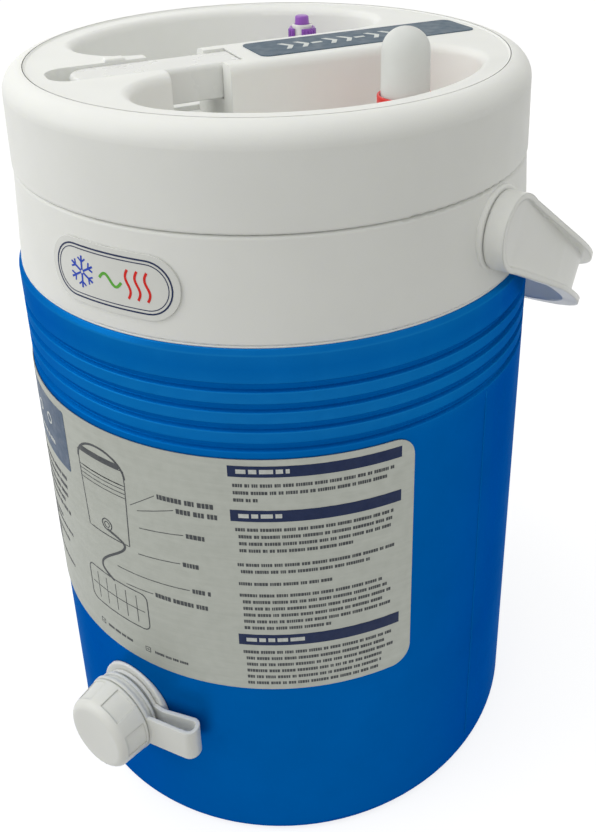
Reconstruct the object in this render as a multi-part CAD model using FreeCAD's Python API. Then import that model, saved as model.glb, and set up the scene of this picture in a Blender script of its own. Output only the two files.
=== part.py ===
import FreeCAD
import Part
import math
import os

# Insulated cooler jug of a hot and cold therapy set: a screw lid with a flip lever, a vent and a
# valve, a carrying bail, and a capped drain spigot at the front foot.
# Frame: millimetres, +Z up, -Y front, origin on the jug's axis in the plane that it stands on.

# ---- Driving dimensions -------------------------------------------------------------------------
# Heights of the jug's three bands
body_h = 225.9
collar_h = 37.4
lid_h = 34.7

# Outer radius at the foot, and what the bands above add to it or take off
body_foot_r = 100.0
body_flare = 1.3
collar_step_in = 1.2
collar_draft = 2.0
lid_step_out = 0.4
lid_draft = 0.5

# Blown outer body
body_wall = 2.2
foot_round = 4.4
foot_ring_w = 16.0
base_recess = 2.5
base_pad_r = 30.0
shoulder_h = 2.4
shoulder_lip = 1.1
shoulder_round = 1.8
shoulder_drop = 0.4
body_neck_in = 4.3
body_neck_h = 7.0
rib_count = 4
rib_pitch = 7.68
rib_top_drop = 14.5
rib_depth = 1.6
rib_half_w = 1.8
rib_root_half_w = 0.9
rib_lip_round = 0.5
rib_root_round = 0.4
fill_plug_r = 11.0
fill_plug_head_r = 14.0
fill_plug_head_t = 1.6
fill_plug_top_z = 8.5

# Inner liner with its threaded neck
liner_wall = 2.2
liner_floor_z = 16.0
liner_draft = 5.0
liner_step_in = 3.9
liner_corner = 14.0
liner_neck_round = 4.0
liner_bore_in = 8.0
neck_bore_in = 12.2
neck_wall = 3.1
neck_rise = 18.7
neck_run = 26.0
neck_taper_h = 10.0
neck_flange_w = 5.6
neck_flange_t = 2.6

# Collar, its bail pads and the pivot pins
collar_wall = 2.6
collar_ledge_t = 2.6
collar_inner_round = 0.8
collar_foot_round = 0.8
collar_top_round = 1.2
pad_round = 0.9
pad_r = 15.8
pad_lift = 1.3
pivot_up = 20.8
pin_r = 5.0
pin_head_r = 8.0
pin_head_t = 1.4

# Lid
lid_wall = 2.2
lid_edge_round = 8.0
lid_foot_round = 1.0
rim_bead_in = 7.8
rim_bead_h = 0.7
bridge_half_w = 18.0
pocket_rim_w = 17.5
pocket_corner_r = 22.0
pocket_depth = 26.0
pocket_edge_round = 3.4
pocket_floor_round = 5.0
lid_web_t = 2.0
lid_plug_wall = 2.0
lid_pan_t = 2.2
skirt_wall = 2.4
gasket_t = 2.0
bridge_azimuth = -28.0
ear_depth = 8.0
ear_tail = 4.0
pan_foot_up = 0.8

# Screw thread between neck and lid: two starts
thread_lead = 12.0
thread_starts = 2
thread_h = 1.6
thread_w = 2.2
thread_root = 0.3
thread_crest_share = 0.3
thread_runout = 1.2
neck_thread_turn = 0.8
skirt_thread_turn = 0.35

# Flip lever, its channel in the bridge and its pin
lever_half_w = 9.3
lever_t = 5.3
lever_tip_gap = 8.4
lever_tip_corner_r = 7.0
lever_pivot_u = -18.6
lever_pin_depth = 3.6
lever_knuckle_r = 5.1
lever_pin_r = 2.0
lever_grip_drop = 12.8
lever_sink = 0.7
gap_left_u = -45.0
grip_knuckle_wall = 1.5
grip_wall = 2.0
lever_top_wall = 2.5
lever_edge_round = 1.8
ear_left_u = -23.0
channel_past_pocket = 3.2
channel_depth = 6.5
channel_corner_r = 8.0
lever_pin_inset = 3.5
pour_from_tip = 15.4
pour_bore_r = 8.0
pour_plug_h = 5.0
pour_plug_taper = 0.6
pour_plug_wall = 1.4
catch_len = 7.5
catch_from_gap = 8.0
catch_w = 4.6
catch_h = 1.0
catch_root = 3.0
catch_gap = 0.4

# Strip label on the bridge
strip_left_u = -7.5
strip_rim_gap = 3.7
strip_half_w = 11.4
strip_corner_r = 3.5
strip_t = 0.3

# Vent with its translucent dome, in the front pocket
vent_u = 30.0
vent_rim_gap = 30.5
vent_foot_r = 11.0
vent_foot_t = 2.5
vent_barrel_r = 7.0
vent_ring_r = 10.1
vent_ring_up = 10.3
vent_ring_h = 5.5
vent_bore_r = 2.6
vent_stem_r = 5.0
vent_flare = 1.0
dome_r = 8.8
dome_wall = 1.2
dome_h = 24.0
dome_socket_h = 3.5
dome_draft = 0.3
poppet_r = 2.5
poppet_head_h = 2.4
poppet_room = 1.6
poppet_drop = 13.0

# Push valve in the rear pocket
valve_u = 36.3
valve_rim_gap = 32.0
valve_foot_r = 7.5
valve_foot_t = 2.5
valve_r = 4.3
valve_stem_r = 3.8
valve_h = 22.4
valve_collar_wall = 1.0
valve_barrel_h = 13.0
valve_collar_h = 4.0
valve_wing_drop = 1.5
valve_wing_deg = 140.0
valve_wing_turn = -48.0
valve_rib_count = 10
valve_rib_h = 0.5
valve_rib_w = 0.6
valve_rib_end = 0.8
button_r = 3.2
button_h = 3.6
button_stroke = 1.8
button_stem_r = 1.0
button_sink = 1.5
button_taper = 0.3
spring_wire = 0.5
spring_coils = 4
spring_pitch_share = 2.2

# Lock nuts and seals under the lid
lock_nut_t = 4.5
lock_nut_wall = 3.5
stem_past_nut = 1.0
seal_t = 1.0
seal_inset = 1.0

# Bail handle
bail_rest_deg = 34.0
bail_hub_r = 14.2
bail_hub_t = 7.6
bail_arm_step = 5.8
bail_arm_len = 42.0
bail_arm_round = 60.0
bail_bow_fullness = 0.70
bail_half_h = 10.6
bail_web_t = 2.4
bail_lip_t = 2.2
bail_lip_w = 4.0
bail_hub_dish = 0.8
bail_pin_depth = 4.1
bail_start = 5.0

# Drain: spigot, lock nut, cap and tether
drain_z = 54.9
drain_flange_r = 16.8
drain_flange_lift = 1.284
drain_flange_t = 9.0
spigot_root_r = 10.6
spigot_wall = 2.2
spigot_reach = 16.8
drain_nut_t = 5.0
drain_nut_r = 17.0
drain_gasket_r = 16.0
drain_gasket_t = 2.0
drain_saddle = 2.0
cap_wall = 4.1
cap_draft = 1.3
cap_crown_h = 12.6
cap_round = 3.4
cap_neck_in = 1.5
cap_neck_h = 5.0
cap_foot_gap = 3.0
cap_foot_t = 1.2
cap_foot_lip = 0.9
cap_panel_count = 6
cap_panel_turn = 5.0
cap_panel_w = 9.2
cap_panel_depth = 0.4
cap_panel_inset = 1.2
cap_seal_t = 1.4
cap_thread_lead = 4.0
cap_thread_h = 0.9
cap_thread_w = 1.3
spigot_thread_turn = 1.6
cap_thread_turn = 0.8
tether_t = 1.6
tether_h = 13.0
tether_ring_t = 1.4
tether_rear_ring_r = 14.2
tether_front_ring_w = 1.4
tether_bend_past = 3.3
tether_near_back = 1.6
tether_near_in = 3.4
tether_loop_x = 34.0
tether_loop_lift = 2.9
tether_front_back = 6.2
tether_front_lift = 4.2
tether_bend_round = 6.0
tether_near_round = 2.6
tether_loop_round = 3.2
tether_front_round = 20.0

# Labels
label_from_z = 80.0
label_to_z = 184.0
label_half_deg = 65.0
label_corner_r = 8.0
label_t = 0.25
label_gap = 0.2
badge_azimuth = 6.0
badge_up = 18.1
badge_half_len = 26.2
badge_half_h = 11.2
badge_t = 0.5

# Clearances
seam_gap = 0.4
nest_gap = 0.3
running_gap = 0.08
swing_gap = 0.4
thread_gap = 0.4
rest_gap = 0.7

# Small moulded edge radii, and how far a cutter runs past what it cuts
fine_round = 0.4
edge_round = 0.8
over = 1.0

UP = FreeCAD.Vector(0, 0, 1)
ORIGIN = FreeCAD.Vector(0, 0, 0)
ALONG_X = FreeCAD.Vector(1, 0, 0)


# ---- Helpers ------------------------------------------------------------------------------------
def upright(a, b):
    """A point of an outline that stands in the XZ plane."""
    return FreeCAD.Vector(a, 0, b)


def level(a, b):
    """A point of an outline that lies in the XY plane."""
    return FreeCAD.Vector(a, b, 0)


def sideways(a, b):
    """A point of an outline in the YZ plane."""
    return FreeCAD.Vector(0, a, b)


def outline(corners, place, closed=True):
    """Wire through corners (a, b) or (a, b, radius), with tangent arcs at the round corners."""
    count = len(corners)
    stops = []
    for i in range(count):
        here = place(*corners[i][:2])
        radius = corners[i][2] if len(corners[i]) > 2 else 0
        if radius == 0 or (not closed and i in (0, count - 1)):
            stops.append((here, here, here))
            continue
        back = (place(*corners[i - 1][:2]) - here).normalize()
        ahead = (place(*corners[(i + 1) % count][:2]) - here).normalize()
        half = back.getAngle(ahead) / 2
        middle = (back + ahead).normalize()
        reach = radius / math.tan(half)
        crown = here + middle * (radius / math.sin(half) - radius)
        stops.append((here + back * reach, crown, here + ahead * reach))
    edges = []
    for i in range(count):
        first, crown, last = stops[i]
        if first.distanceToPoint(last) > 1e-6:
            edges.append(Part.Arc(first, crown, last).toShape())
        following = stops[(i + 1) % count][0]
        if (closed or i < count - 1) and last.distanceToPoint(following) > 1e-6:
            edges.append(Part.makeLine(last, following))
    return Part.Wire(edges)


def turned(corners):
    """Solid of revolution about Z from (radius, height) corners."""
    return Part.Face(outline(corners, upright)).revolve(ORIGIN, UP, 360)


def rod(radius, low, high):
    """Upright cylinder between two heights."""
    return Part.makeCylinder(radius, high - low, FreeCAD.Vector(0, 0, low))


def tube(outer, inner, low, high):
    """Upright tube between two heights."""
    return rod(outer, low, high).cut(rod(inner, low - 1, high + 1))


def prism(corners, low, high):
    """Straight block on a level outline."""
    floor = Part.Face(outline(corners, level))
    floor.translate(FreeCAD.Vector(0, 0, low))
    return floor.extrude(FreeCAD.Vector(0, 0, high - low))


def box_of(a0, a1, b0, b1, low, high):
    """Box between limits on X, Y and Z."""
    return Part.makeBox(a1 - a0, b1 - b0, high - low, FreeCAD.Vector(a0, b0, low))


def hexagon(radius, low, high):
    """Upright hexagonal block with the given corner radius."""
    corners = []
    for i in range(6):
        angle = math.radians(60 * i)
        corners.append((radius * math.cos(angle), radius * math.sin(angle)))
    return prism(corners, low, high)


def moved(shape, x=0.0, y=0.0, z=0.0):
    """Copy of a shape, shifted."""
    copy = shape.copy()
    copy.translate(FreeCAD.Vector(x, y, z))
    return copy


def spun(shape, degrees, axis=UP, centre=ORIGIN):
    """Copy of a shape, rotated."""
    copy = shape.copy()
    copy.rotate(centre, axis, degrees)
    return copy


def thread(radius, lead, turn, start_z, start_deg, height, width, outward):
    """One helical ridge on a wall of the given radius, starting at an angle and a height."""
    side = 1 if outward else -1
    helix = Part.makeHelix(lead, lead * turn, radius)
    crest = width * thread_crest_share
    section = Part.makePolygon([
        FreeCAD.Vector(radius - side * thread_root, 0, -width / 2),
        FreeCAD.Vector(radius + side * height, 0, -crest),
        FreeCAD.Vector(radius + side * height, 0, crest),
        FreeCAD.Vector(radius - side * thread_root, 0, width / 2),
        FreeCAD.Vector(radius - side * thread_root, 0, -width / 2),
    ])
    ridge = Part.Wire(helix).makePipeShell([section], True, True)
    return moved(spun(ridge, start_deg), z=start_z)


def in_lid(shape):
    """Turn a shape from the lid's own frame, bridge along X, to where the lid is screwed home."""
    return spun(shape, bridge_azimuth + 90)


def to_front(shape):
    """Turn a shape made upright, Z being the distance out from the jug's axis, to the drain."""
    return moved(spun(shape, 90, ALONG_X), z=drain_z)


# ---- Sizes that follow --------------------------------------------------------------------------
# Heights
body_top_z = body_h
lid_seam_z = body_top_z + collar_h
lid_top_z = lid_seam_z + lid_h
rib_top_z = body_top_z - rib_top_drop
neck_top_z = lid_seam_z + neck_rise
pivot_z = body_top_z + pivot_up
badge_z = body_top_z + badge_up
land_z = lid_top_z - rim_bead_h
lid_foot_z = lid_seam_z + seam_gap / 2
collar_top_z = lid_seam_z - seam_gap / 2
neck_low_z = neck_top_z - neck_run
flange_top_z = collar_top_z - collar_ledge_t
web_low_z = neck_top_z + gasket_t
pocket_floor_z = lid_top_z - pocket_depth
pan_top_z = pocket_floor_z - lid_wall - nest_gap
pan_low_z = pan_top_z - lid_pan_t
lever_top_z = land_z - lever_sink
lever_pivot_z = lever_top_z - lever_pin_depth
channel_floor_z = land_z - channel_depth
# The grip's low corner swings past the end of the channel's floor with the same gap all the way.
grip_swing_r = math.hypot(lever_pivot_u - gap_left_u, lever_pivot_z - channel_floor_z) - nest_gap
grip_left_u = lever_pivot_u - math.sqrt(grip_swing_r ** 2 - (lever_grip_drop - lever_pin_depth) ** 2)
vent_ring_z = pocket_floor_z + vent_ring_up
vent_seat_z = vent_ring_z + vent_ring_h - dome_socket_h
dome_top_z = vent_ring_z + vent_ring_h + dome_h
poppet_top_z = dome_top_z - poppet_drop
valve_top_z = pocket_floor_z + valve_h
valve_collar_z = valve_top_z - valve_barrel_h
valve_wing_top_z = valve_top_z - valve_wing_drop
button_top_z = valve_top_z + button_h

# Radii
body_top_r = body_foot_r + body_flare
body_neck_r = body_top_r - body_neck_in
body_slope = (body_top_r - body_foot_r) / body_top_z
collar_foot_r = body_top_r - collar_step_in
collar_top_r = collar_foot_r - collar_draft
lid_foot_r = collar_top_r + lid_step_out
lid_top_r = lid_foot_r - lid_draft
lid_bore_r = lid_top_r - lid_wall
neck_bore_r = collar_top_r - neck_bore_in
neck_r = neck_bore_r + neck_wall
liner_top_r = neck_bore_r - liner_step_in
liner_foot_r = liner_top_r - liner_draft
liner_slope = (liner_top_r - liner_foot_r) / (neck_low_z - neck_taper_h - liner_floor_z)
skirt_bore_r = neck_r + thread_h + thread_gap
skirt_r = skirt_bore_r + skirt_wall
rim_bead_r = lid_top_r - rim_bead_in
pocket_arc_r = lid_top_r - pocket_rim_w
plug_r = pocket_arc_r + lid_wall + nest_gap + lid_plug_wall

# Along and across the lid's bridge
channel_half_w = lever_half_w + 2 * nest_gap
channel_end_u = -pocket_arc_r - channel_past_pocket
lever_tip_u = channel_end_u + lever_tip_gap
pour_u = lever_tip_u + pour_from_tip
strip_right_u = rim_bead_r - strip_rim_gap

# The two fittings, one in each pocket
vent_v = -(pocket_arc_r - vent_rim_gap)
valve_v = pocket_arc_r - valve_rim_gap

# Across the bail
pad_face_x = collar_top_r + pad_lift
bail_hub_face_x = pad_face_x + bail_hub_t
bail_arm_half_w = bail_hub_face_x + bail_arm_step

# Out from the jug's axis to the drain's faces
drain_flange_out = body_foot_r + body_slope * drain_z + drain_flange_lift
spigot_end_out = drain_flange_out + spigot_reach
cap_foot_out = drain_flange_out + cap_foot_gap
cap_neck_out = cap_foot_out + cap_neck_h
cap_face_out = cap_neck_out + cap_crown_h
cap_ceiling_out = spigot_end_out + cap_seal_t
tether_near_out = drain_flange_out - tether_near_in
tether_loop_out = drain_flange_out + tether_loop_lift
tether_front_out = drain_flange_out + tether_front_lift

# Radii and widths of the drain
spigot_bore_r = spigot_root_r - spigot_wall
spigot_crest_r = spigot_root_r + cap_thread_h
cap_bore_r = spigot_crest_r + nest_gap
cap_r = cap_bore_r + cap_wall
cap_front_r = cap_r - cap_draft
cap_neck_r = cap_r - cap_neck_in
tether_bend_x = tether_rear_ring_r + tether_bend_past
tether_near_x = tether_loop_x - tether_near_back
tether_front_x = tether_loop_x - tether_front_back


def body_r_at(z):
    """Outer radius of the blown body at a height below its shoulder."""
    return body_foot_r + body_slope * z


def liner_r_at(z):
    """Inner radius of the liner at a height below its neck."""
    return liner_foot_r + liner_slope * (z - liner_floor_z)


# ---- Vessel -------------------------------------------------------------------------------------
def body_corners(inset, floor_z, top_z):
    """Profile of the blown body, drawn in by an inset, with its ribs and shoulder."""
    corners = [(0, floor_z), (body_foot_r - inset, floor_z, max(foot_round - inset, 1.0))]
    for i in reversed(range(rib_count)):
        z = rib_top_z - i * rib_pitch
        r = body_r_at(z) - inset
        corners.append((r, z - rib_half_w, rib_lip_round))
        corners.append((r - rib_depth, z - rib_root_half_w, rib_root_round))
        corners.append((r - rib_depth, z + rib_root_half_w, rib_root_round))
        corners.append((r, z + rib_half_w, rib_lip_round))
    step_z = body_top_z - seam_gap - inset * shoulder_drop
    corners.append((body_top_r - inset, body_top_z - shoulder_h, shoulder_round))
    corners.append((body_top_r - shoulder_lip - inset, step_z, edge_round))
    corners.append((body_neck_r - inset, step_z, fine_round))
    corners.append((body_neck_r - inset, top_z))
    corners.append((0, top_z))
    return corners


def make_outer_body():
    """Blown shell, open at the top under the collar, standing on a foot ring and a centre pad."""
    top_z = body_top_z + body_neck_h
    shell = turned(body_corners(0, 0, top_z))
    inner_floor_z = base_recess + body_wall
    shell = shell.cut(turned(body_corners(body_wall, inner_floor_z, top_z + over)))
    recess_r = body_foot_r - foot_ring_w
    recess = turned([
        (base_pad_r, -over),
        (recess_r + over, -over),
        (recess_r, base_recess, edge_round),
        (base_pad_r + over, base_recess, edge_round),
    ])
    shell = shell.cut(recess)
    shell = shell.cut(rod(fill_plug_r + nest_gap, -over, inner_floor_z + over))
    shell = shell.cut(rod(fill_plug_head_r + nest_gap, -over, fill_plug_head_t))
    return shell.cut(drain_hole())


def drain_hole():
    """Cutter for the spigot's stem through the jug's walls."""
    return to_front(rod(spigot_root_r + nest_gap, liner_foot_r - liner_bore_in, 2 * body_top_r))


def make_fill_plug():
    """Plug in the base hole that the foam was poured through, flush with the centre pad."""
    head = turned([
        (0, 0),
        (fill_plug_head_r, 0, fine_round),
        (fill_plug_head_r, fill_plug_head_t),
        (0, fill_plug_head_t),
    ])
    return head.fuse(rod(fill_plug_r, fill_plug_head_t, fill_plug_top_z)).removeSplitter()


def make_inner_liner():
    """Food-safe liner: tapered tank, wide neck with the lid's thread, and the collar's flange."""
    low = neck_low_z - neck_taper_h
    outer = turned([
        (0, liner_floor_z - liner_wall),
        (liner_foot_r + liner_wall, liner_floor_z - liner_wall, liner_corner + liner_wall),
        (liner_top_r + liner_wall, low, liner_neck_round),
        (neck_r, neck_low_z, liner_neck_round / 2),
        (neck_r, flange_top_z - neck_flange_t),
        (neck_r + neck_flange_w, flange_top_z - neck_flange_t),
        (neck_r + neck_flange_w, flange_top_z),
        (neck_r, flange_top_z),
        (neck_r, neck_top_z, edge_round),
        (neck_bore_r, neck_top_z, edge_round),
        (neck_bore_r, neck_low_z, liner_neck_round / 2),
        (liner_top_r, low, liner_neck_round),
        (liner_foot_r, liner_floor_z, liner_corner),
        (0, liner_floor_z),
    ])
    first_z = collar_top_z + thread_w + thread_runout
    for i in range(thread_starts):
        ridge = thread(neck_r, thread_lead, neck_thread_turn, first_z, 360 / thread_starts * i,
                       thread_h, thread_w, True)
        outer = outer.fuse(ridge)
    return outer.cut(drain_hole())


def make_foam_insulation():
    """Poured foam between the blown body and the liner."""
    wide_r = body_r_at(rib_top_z) - body_wall - rib_depth - nest_gap
    waist_r = body_neck_r - body_wall - nest_gap
    step_z = body_top_z - shoulder_h - 2 * body_wall
    top_z = flange_top_z - neck_flange_t
    low_z = base_recess + body_wall
    wide_low_r = min(wide_r, body_foot_r - body_wall - nest_gap)
    foam = turned([
        (0, low_z),
        (wide_low_r, low_z, foot_round),
        (wide_r, step_z),
        (waist_r, step_z + body_wall),
        (waist_r, top_z),
        (0, top_z),
    ])
    tank_gap = nest_gap + liner_wall
    low = neck_low_z - neck_taper_h
    tank = turned([
        (0, liner_floor_z - liner_wall),
        (liner_foot_r + tank_gap, liner_floor_z - liner_wall, liner_corner + tank_gap),
        (liner_top_r + tank_gap, low, liner_neck_round),
        (neck_r + nest_gap, neck_low_z, liner_neck_round / 2),
        (neck_r + nest_gap, top_z + over),
        (0, top_z + over),
    ])
    foam = foam.cut(tank)
    foam = foam.cut(rod(fill_plug_r + nest_gap, low_z - over, fill_plug_top_z + nest_gap))
    for side in (-1, 1):
        foam = foam.cut(pin_head(side, nest_gap))
    return foam.cut(drain_hole())


def collar_r_at(z):
    """Outer radius of the collar at a height."""
    share = (z - body_top_z) / (collar_top_z - body_top_z)
    return collar_foot_r + (collar_top_r - collar_foot_r) * share


def along_x(radius, start, length, side):
    """Cylinder on the bail's pivot axis, on one side of the jug."""
    begin = FreeCAD.Vector(side * start, 0, pivot_z)
    return Part.makeCylinder(radius, length, begin, FreeCAD.Vector(side, 0, 0))


def make_collar():
    """Moulded ring between body and lid, with a round pad for each end of the bail."""
    blank = turned([
        (0, body_top_z),
        (collar_foot_r, body_top_z, collar_foot_round),
        (collar_top_r, collar_top_z, collar_top_round),
        (0, collar_top_z),
    ])
    for side in (-1, 1):
        pad = along_x(pad_r, 0, pad_face_x, side)
        rim = [edge for edge in pad.Edges if is_ring_at(edge, side * pad_face_x)]
        band = rod(2 * collar_foot_r, body_top_z, collar_top_z)
        blank = blank.fuse(pad.makeFillet(pad_round, rim).common(band))
    bore = turned([
        (0, body_top_z - over),
        (collar_foot_r - collar_wall, body_top_z - over),
        (collar_top_r - collar_wall, collar_top_z - collar_ledge_t, collar_inner_round),
        (neck_r + nest_gap, collar_top_z - collar_ledge_t),
        (neck_r + nest_gap, collar_top_z + over),
        (0, collar_top_z + over),
    ])
    ring = blank.cut(bore)
    for side in (-1, 1):
        ring = ring.cut(along_x(pin_r + running_gap, pin_head_start(), 2 * pin_head_r, side))
    return ring


def is_ring_at(edge, x):
    """True for a circular edge that lies in the plane X = x."""
    box = edge.BoundBox
    return abs(box.XMin - x) < 1e-3 and abs(box.XMax - x) < 1e-3


def pin_head_start():
    """Distance from the axis of the inner face of a pivot pin's head."""
    wall_r = collar_r_at(pivot_z) - collar_wall
    chord = math.sqrt(wall_r ** 2 - pin_head_r ** 2)
    return chord - nest_gap - pin_head_t


def pin_head(side, gap):
    """Head of a pivot pin inside the collar, with a gap all round."""
    return along_x(pin_head_r + gap, pin_head_start() - gap, pin_head_t + 2 * gap, side)


def make_pivot_pin(side):
    """Headed pin, pushed out through the collar's pad into the bail's hub."""
    tip = pad_face_x + swing_gap + bail_pin_depth - nest_gap
    start = pin_head_start()
    shank = along_x(pin_r, start, tip - start, side)
    return pin_head(side, 0).fuse(shank).removeSplitter()


# ---- Lid ----------------------------------------------------------------------------------------
def pocket(side, inset, floor_z):
    """D-shaped pocket beside the bridge, grown outward by an inset for the wall's far face."""
    corner_r = pocket_corner_r + inset
    arc_r = pocket_arc_r + inset
    line_v = bridge_half_w - inset
    centre_v = bridge_half_w + pocket_corner_r
    centre_u = math.sqrt((pocket_arc_r - pocket_corner_r) ** 2 - centre_v ** 2)
    lean = math.atan2(centre_v, centre_u)
    half_turn = (math.pi / 2 + lean) / 2

    def at(u, v):
        return FreeCAD.Vector(u, side * v, floor_z)

    def on_corner(hand, angle):
        u = centre_u + corner_r * math.cos(angle)
        return at(hand * u, centre_v + corner_r * math.sin(angle))

    far_u = arc_r * math.cos(lean)
    far_v = arc_r * math.sin(lean)
    edges = [Part.makeLine(at(-centre_u, line_v), at(centre_u, line_v))]
    for hand in (-1, 1):
        middle = lean - half_turn
        arc = Part.Arc(at(hand * centre_u, line_v), on_corner(hand, middle), at(hand * far_u, far_v))
        edges.append(arc.toShape())
    edges.append(Part.Arc(at(far_u, far_v), at(0, arc_r), at(-far_u, far_v)).toShape())
    floor = Part.Face(Part.Wire(Part.__sortEdges__(edges)))
    block = floor.extrude(FreeCAD.Vector(0, 0, lid_top_z + over - floor_z))
    low_edges = [edge for edge in block.Edges if edge.BoundBox.ZMax < floor_z + 1e-3]
    return block.makeFillet(pocket_floor_round + inset, low_edges)


def lever_cuts(inset):
    """Channel, finger gap, knuckle slot and pour bore of the flip lever, grown by an inset."""
    top = lid_top_z + over
    half = channel_half_w + inset
    corner = channel_corner_r + inset
    channel = prism([
        (channel_end_u - inset, -half, corner),
        (gap_left_u + over, -half),
        (gap_left_u + over, half),
        (channel_end_u - inset, half, corner),
    ], channel_floor_z - inset, top)
    reach = bridge_half_w + over
    gap = box_of(gap_left_u - inset, ear_left_u + inset, -reach, reach, pocket_floor_z - inset, top)
    slot_end = lever_pivot_u + lever_pin_depth + nest_gap + inset
    slot_floor = lever_top_z - lever_grip_drop - 2 * nest_gap - inset
    slot = box_of(ear_left_u - over, slot_end, -half, half, slot_floor, top)
    socket = lever_pin_bar(lever_knuckle_r + nest_gap + inset, half)
    bore = moved(rod(pour_bore_r + inset, pan_low_z - over, top), x=pour_u)
    return channel.fuse([gap, slot, socket, bore])


def lever_pin_bar(radius, half_length):
    """Cylinder on the lever's pivot axis."""
    begin = FreeCAD.Vector(lever_pivot_u, -half_length, lever_pivot_z)
    return Part.makeCylinder(radius, 2 * half_length, begin, FreeCAD.Vector(0, 1, 0))


def lever_pin_half():
    """Half the length of the lever's pin."""
    return bridge_half_w - lever_pin_inset


def stem_bores(gap):
    """Holes for the vent's and the valve's stems."""
    vent = moved(rod(vent_stem_r + gap, pan_low_z - over, land_z), vent_u, vent_v)
    valve = moved(rod(valve_stem_r + gap, pan_low_z - over, land_z), valve_u, valve_v)
    return vent.fuse(valve)


def ear_block(gap):
    """Solid block between the knuckle slot and the pockets that holds the lever's pin."""
    return box_of(ear_left_u - gap, lever_pivot_u + lever_knuckle_r + ear_tail + gap, -bridge_half_w,
                  bridge_half_w, lever_pivot_z - ear_depth - gap, lid_top_z)


def lid_hollow():
    """Space inside the lid shell, between its outer wall and the walls of its pockets."""
    low_z = pocket_floor_z - lid_wall
    inner = turned([
        (0, lid_foot_z - over),
        (lid_bore_r, lid_foot_z - over),
        (lid_bore_r, land_z - lid_wall, lid_edge_round - lid_wall),
        (0, land_z - lid_wall),
    ])
    kept = pocket(1, lid_wall, low_z).fuse(pocket(-1, lid_wall, low_z))
    kept = kept.fuse(lever_cuts(lid_wall))
    kept = kept.fuse(ear_block(0))
    kept = kept.common(rod(lid_top_r, low_z, lid_top_z + over))
    return inner.cut(kept)


def make_lid_shell():
    """Top moulding of the lid: rim, two pockets, the bridge between them and the lever's channel."""
    blank = turned([
        (0, lid_foot_z),
        (lid_foot_r, lid_foot_z, lid_foot_round),
        (lid_top_r, lid_top_z, lid_edge_round),
        (rim_bead_r, lid_top_z, rim_bead_h / 2),
        (rim_bead_r - rim_bead_h, land_z, rim_bead_h / 2),
        (0, land_z),
    ])
    for side in (-1, 1):
        blank = blank.cut(pocket(side, 0, pocket_floor_z))
    rims = [edge for edge in blank.Edges if is_pocket_rim(edge)]
    blank = blank.makeFillet(pocket_edge_round, rims)
    catch_u = gap_left_u - catch_len - catch_from_gap
    catch_v = channel_half_w + catch_gap
    catch = box_of(catch_u, catch_u + catch_len, catch_v, catch_v + catch_w,
                   land_z - catch_root, land_z + catch_h)
    catch = catch.makeFillet(edge_round, [edge for edge in catch.Edges if edge.BoundBox.ZMin > land_z])
    blank = blank.fuse(catch)
    shell = blank.cut(lever_cuts(0))
    shell = shell.cut(lid_hollow())
    shell = shell.cut(lever_pin_bar(lever_pin_r + running_gap / 2, lever_pin_half() + nest_gap))
    shell = shell.cut(stem_bores(nest_gap))
    return in_lid(shell)


def is_pocket_rim(edge):
    """True for an edge between a pocket's wall and the land round it."""
    box = edge.BoundBox
    flat = box.ZMax - box.ZMin < 1e-3 and abs(box.ZMax - land_z) < 1e-3
    inner_r = pocket_arc_r + pocket_edge_round
    return flat and box.XMax < inner_r and box.YMax < inner_r and box.YMin > -inner_r


def make_lid_foam():
    """Foam inside the bridge and the rim of the lid."""
    block = turned([
        (0, pan_top_z + nest_gap),
        (plug_r - lid_plug_wall - nest_gap, pan_top_z + nest_gap),
        (plug_r - lid_plug_wall - nest_gap, web_low_z + lid_web_t + nest_gap),
        (lid_bore_r - nest_gap, web_low_z + lid_web_t + nest_gap),
        (lid_bore_r - nest_gap, land_z - lid_wall - nest_gap, lid_edge_round - lid_wall),
        (0, land_z - lid_wall - nest_gap),
    ])
    wall = lid_wall + nest_gap
    floor_z = pocket_floor_z - wall
    for side in (-1, 1):
        block = block.cut(pocket(side, wall, floor_z))
    return in_lid(block.cut(lever_cuts(wall)).cut(ear_block(nest_gap)))


def make_lid_pan():
    """Under-moulding of the lid: floor, plug wall and the skirt with the inner thread."""
    web_top_z = web_low_z + lid_web_t
    foot_z = lid_foot_z + pan_foot_up
    rim_r = lid_bore_r - nest_gap
    pan = turned([
        (0, pan_low_z),
        (plug_r, pan_low_z, edge_round),
        (plug_r, web_low_z),
        (skirt_bore_r, web_low_z),
        (skirt_bore_r, foot_z),
        (rim_r, foot_z),
        (rim_r, foot_z + skirt_wall),
        (skirt_r, foot_z + skirt_wall),
        (skirt_r, web_top_z),
        (plug_r - lid_plug_wall, web_top_z),
        (plug_r - lid_plug_wall, pan_top_z),
        (0, pan_top_z),
    ])
    first_z = collar_top_z + thread_w + thread_runout
    for i in range(thread_starts):
        start_deg = 360 / thread_starts * i
        half_pitch = thread_lead / thread_starts / 2
        ridge = thread(skirt_bore_r, thread_lead, skirt_thread_turn, first_z + half_pitch, start_deg,
                       thread_h, thread_w, False)
        pan = pan.fuse(ridge)
    pan = spun(pan, -bridge_azimuth - 90)
    pan = pan.cut(moved(rod(pour_bore_r, pan_low_z - over, pan_top_z + over), x=pour_u))
    pan = pan.cut(stem_bores(nest_gap))
    return in_lid(pan)


def make_lid_gasket():
    """Flat ring between the neck's lip and the lid."""
    return tube(neck_r + thread_h, plug_r + nest_gap, neck_top_z, web_low_z)


def make_lid_strip():
    """Printed strip on top of the bridge."""
    corners = [
        (strip_left_u, -strip_half_w, strip_corner_r),
        (strip_right_u, -strip_half_w, strip_corner_r),
        (strip_right_u, strip_half_w, strip_corner_r),
        (strip_left_u, strip_half_w, strip_corner_r),
    ]
    return in_lid(prism(corners, land_z, land_z + strip_t))


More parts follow.
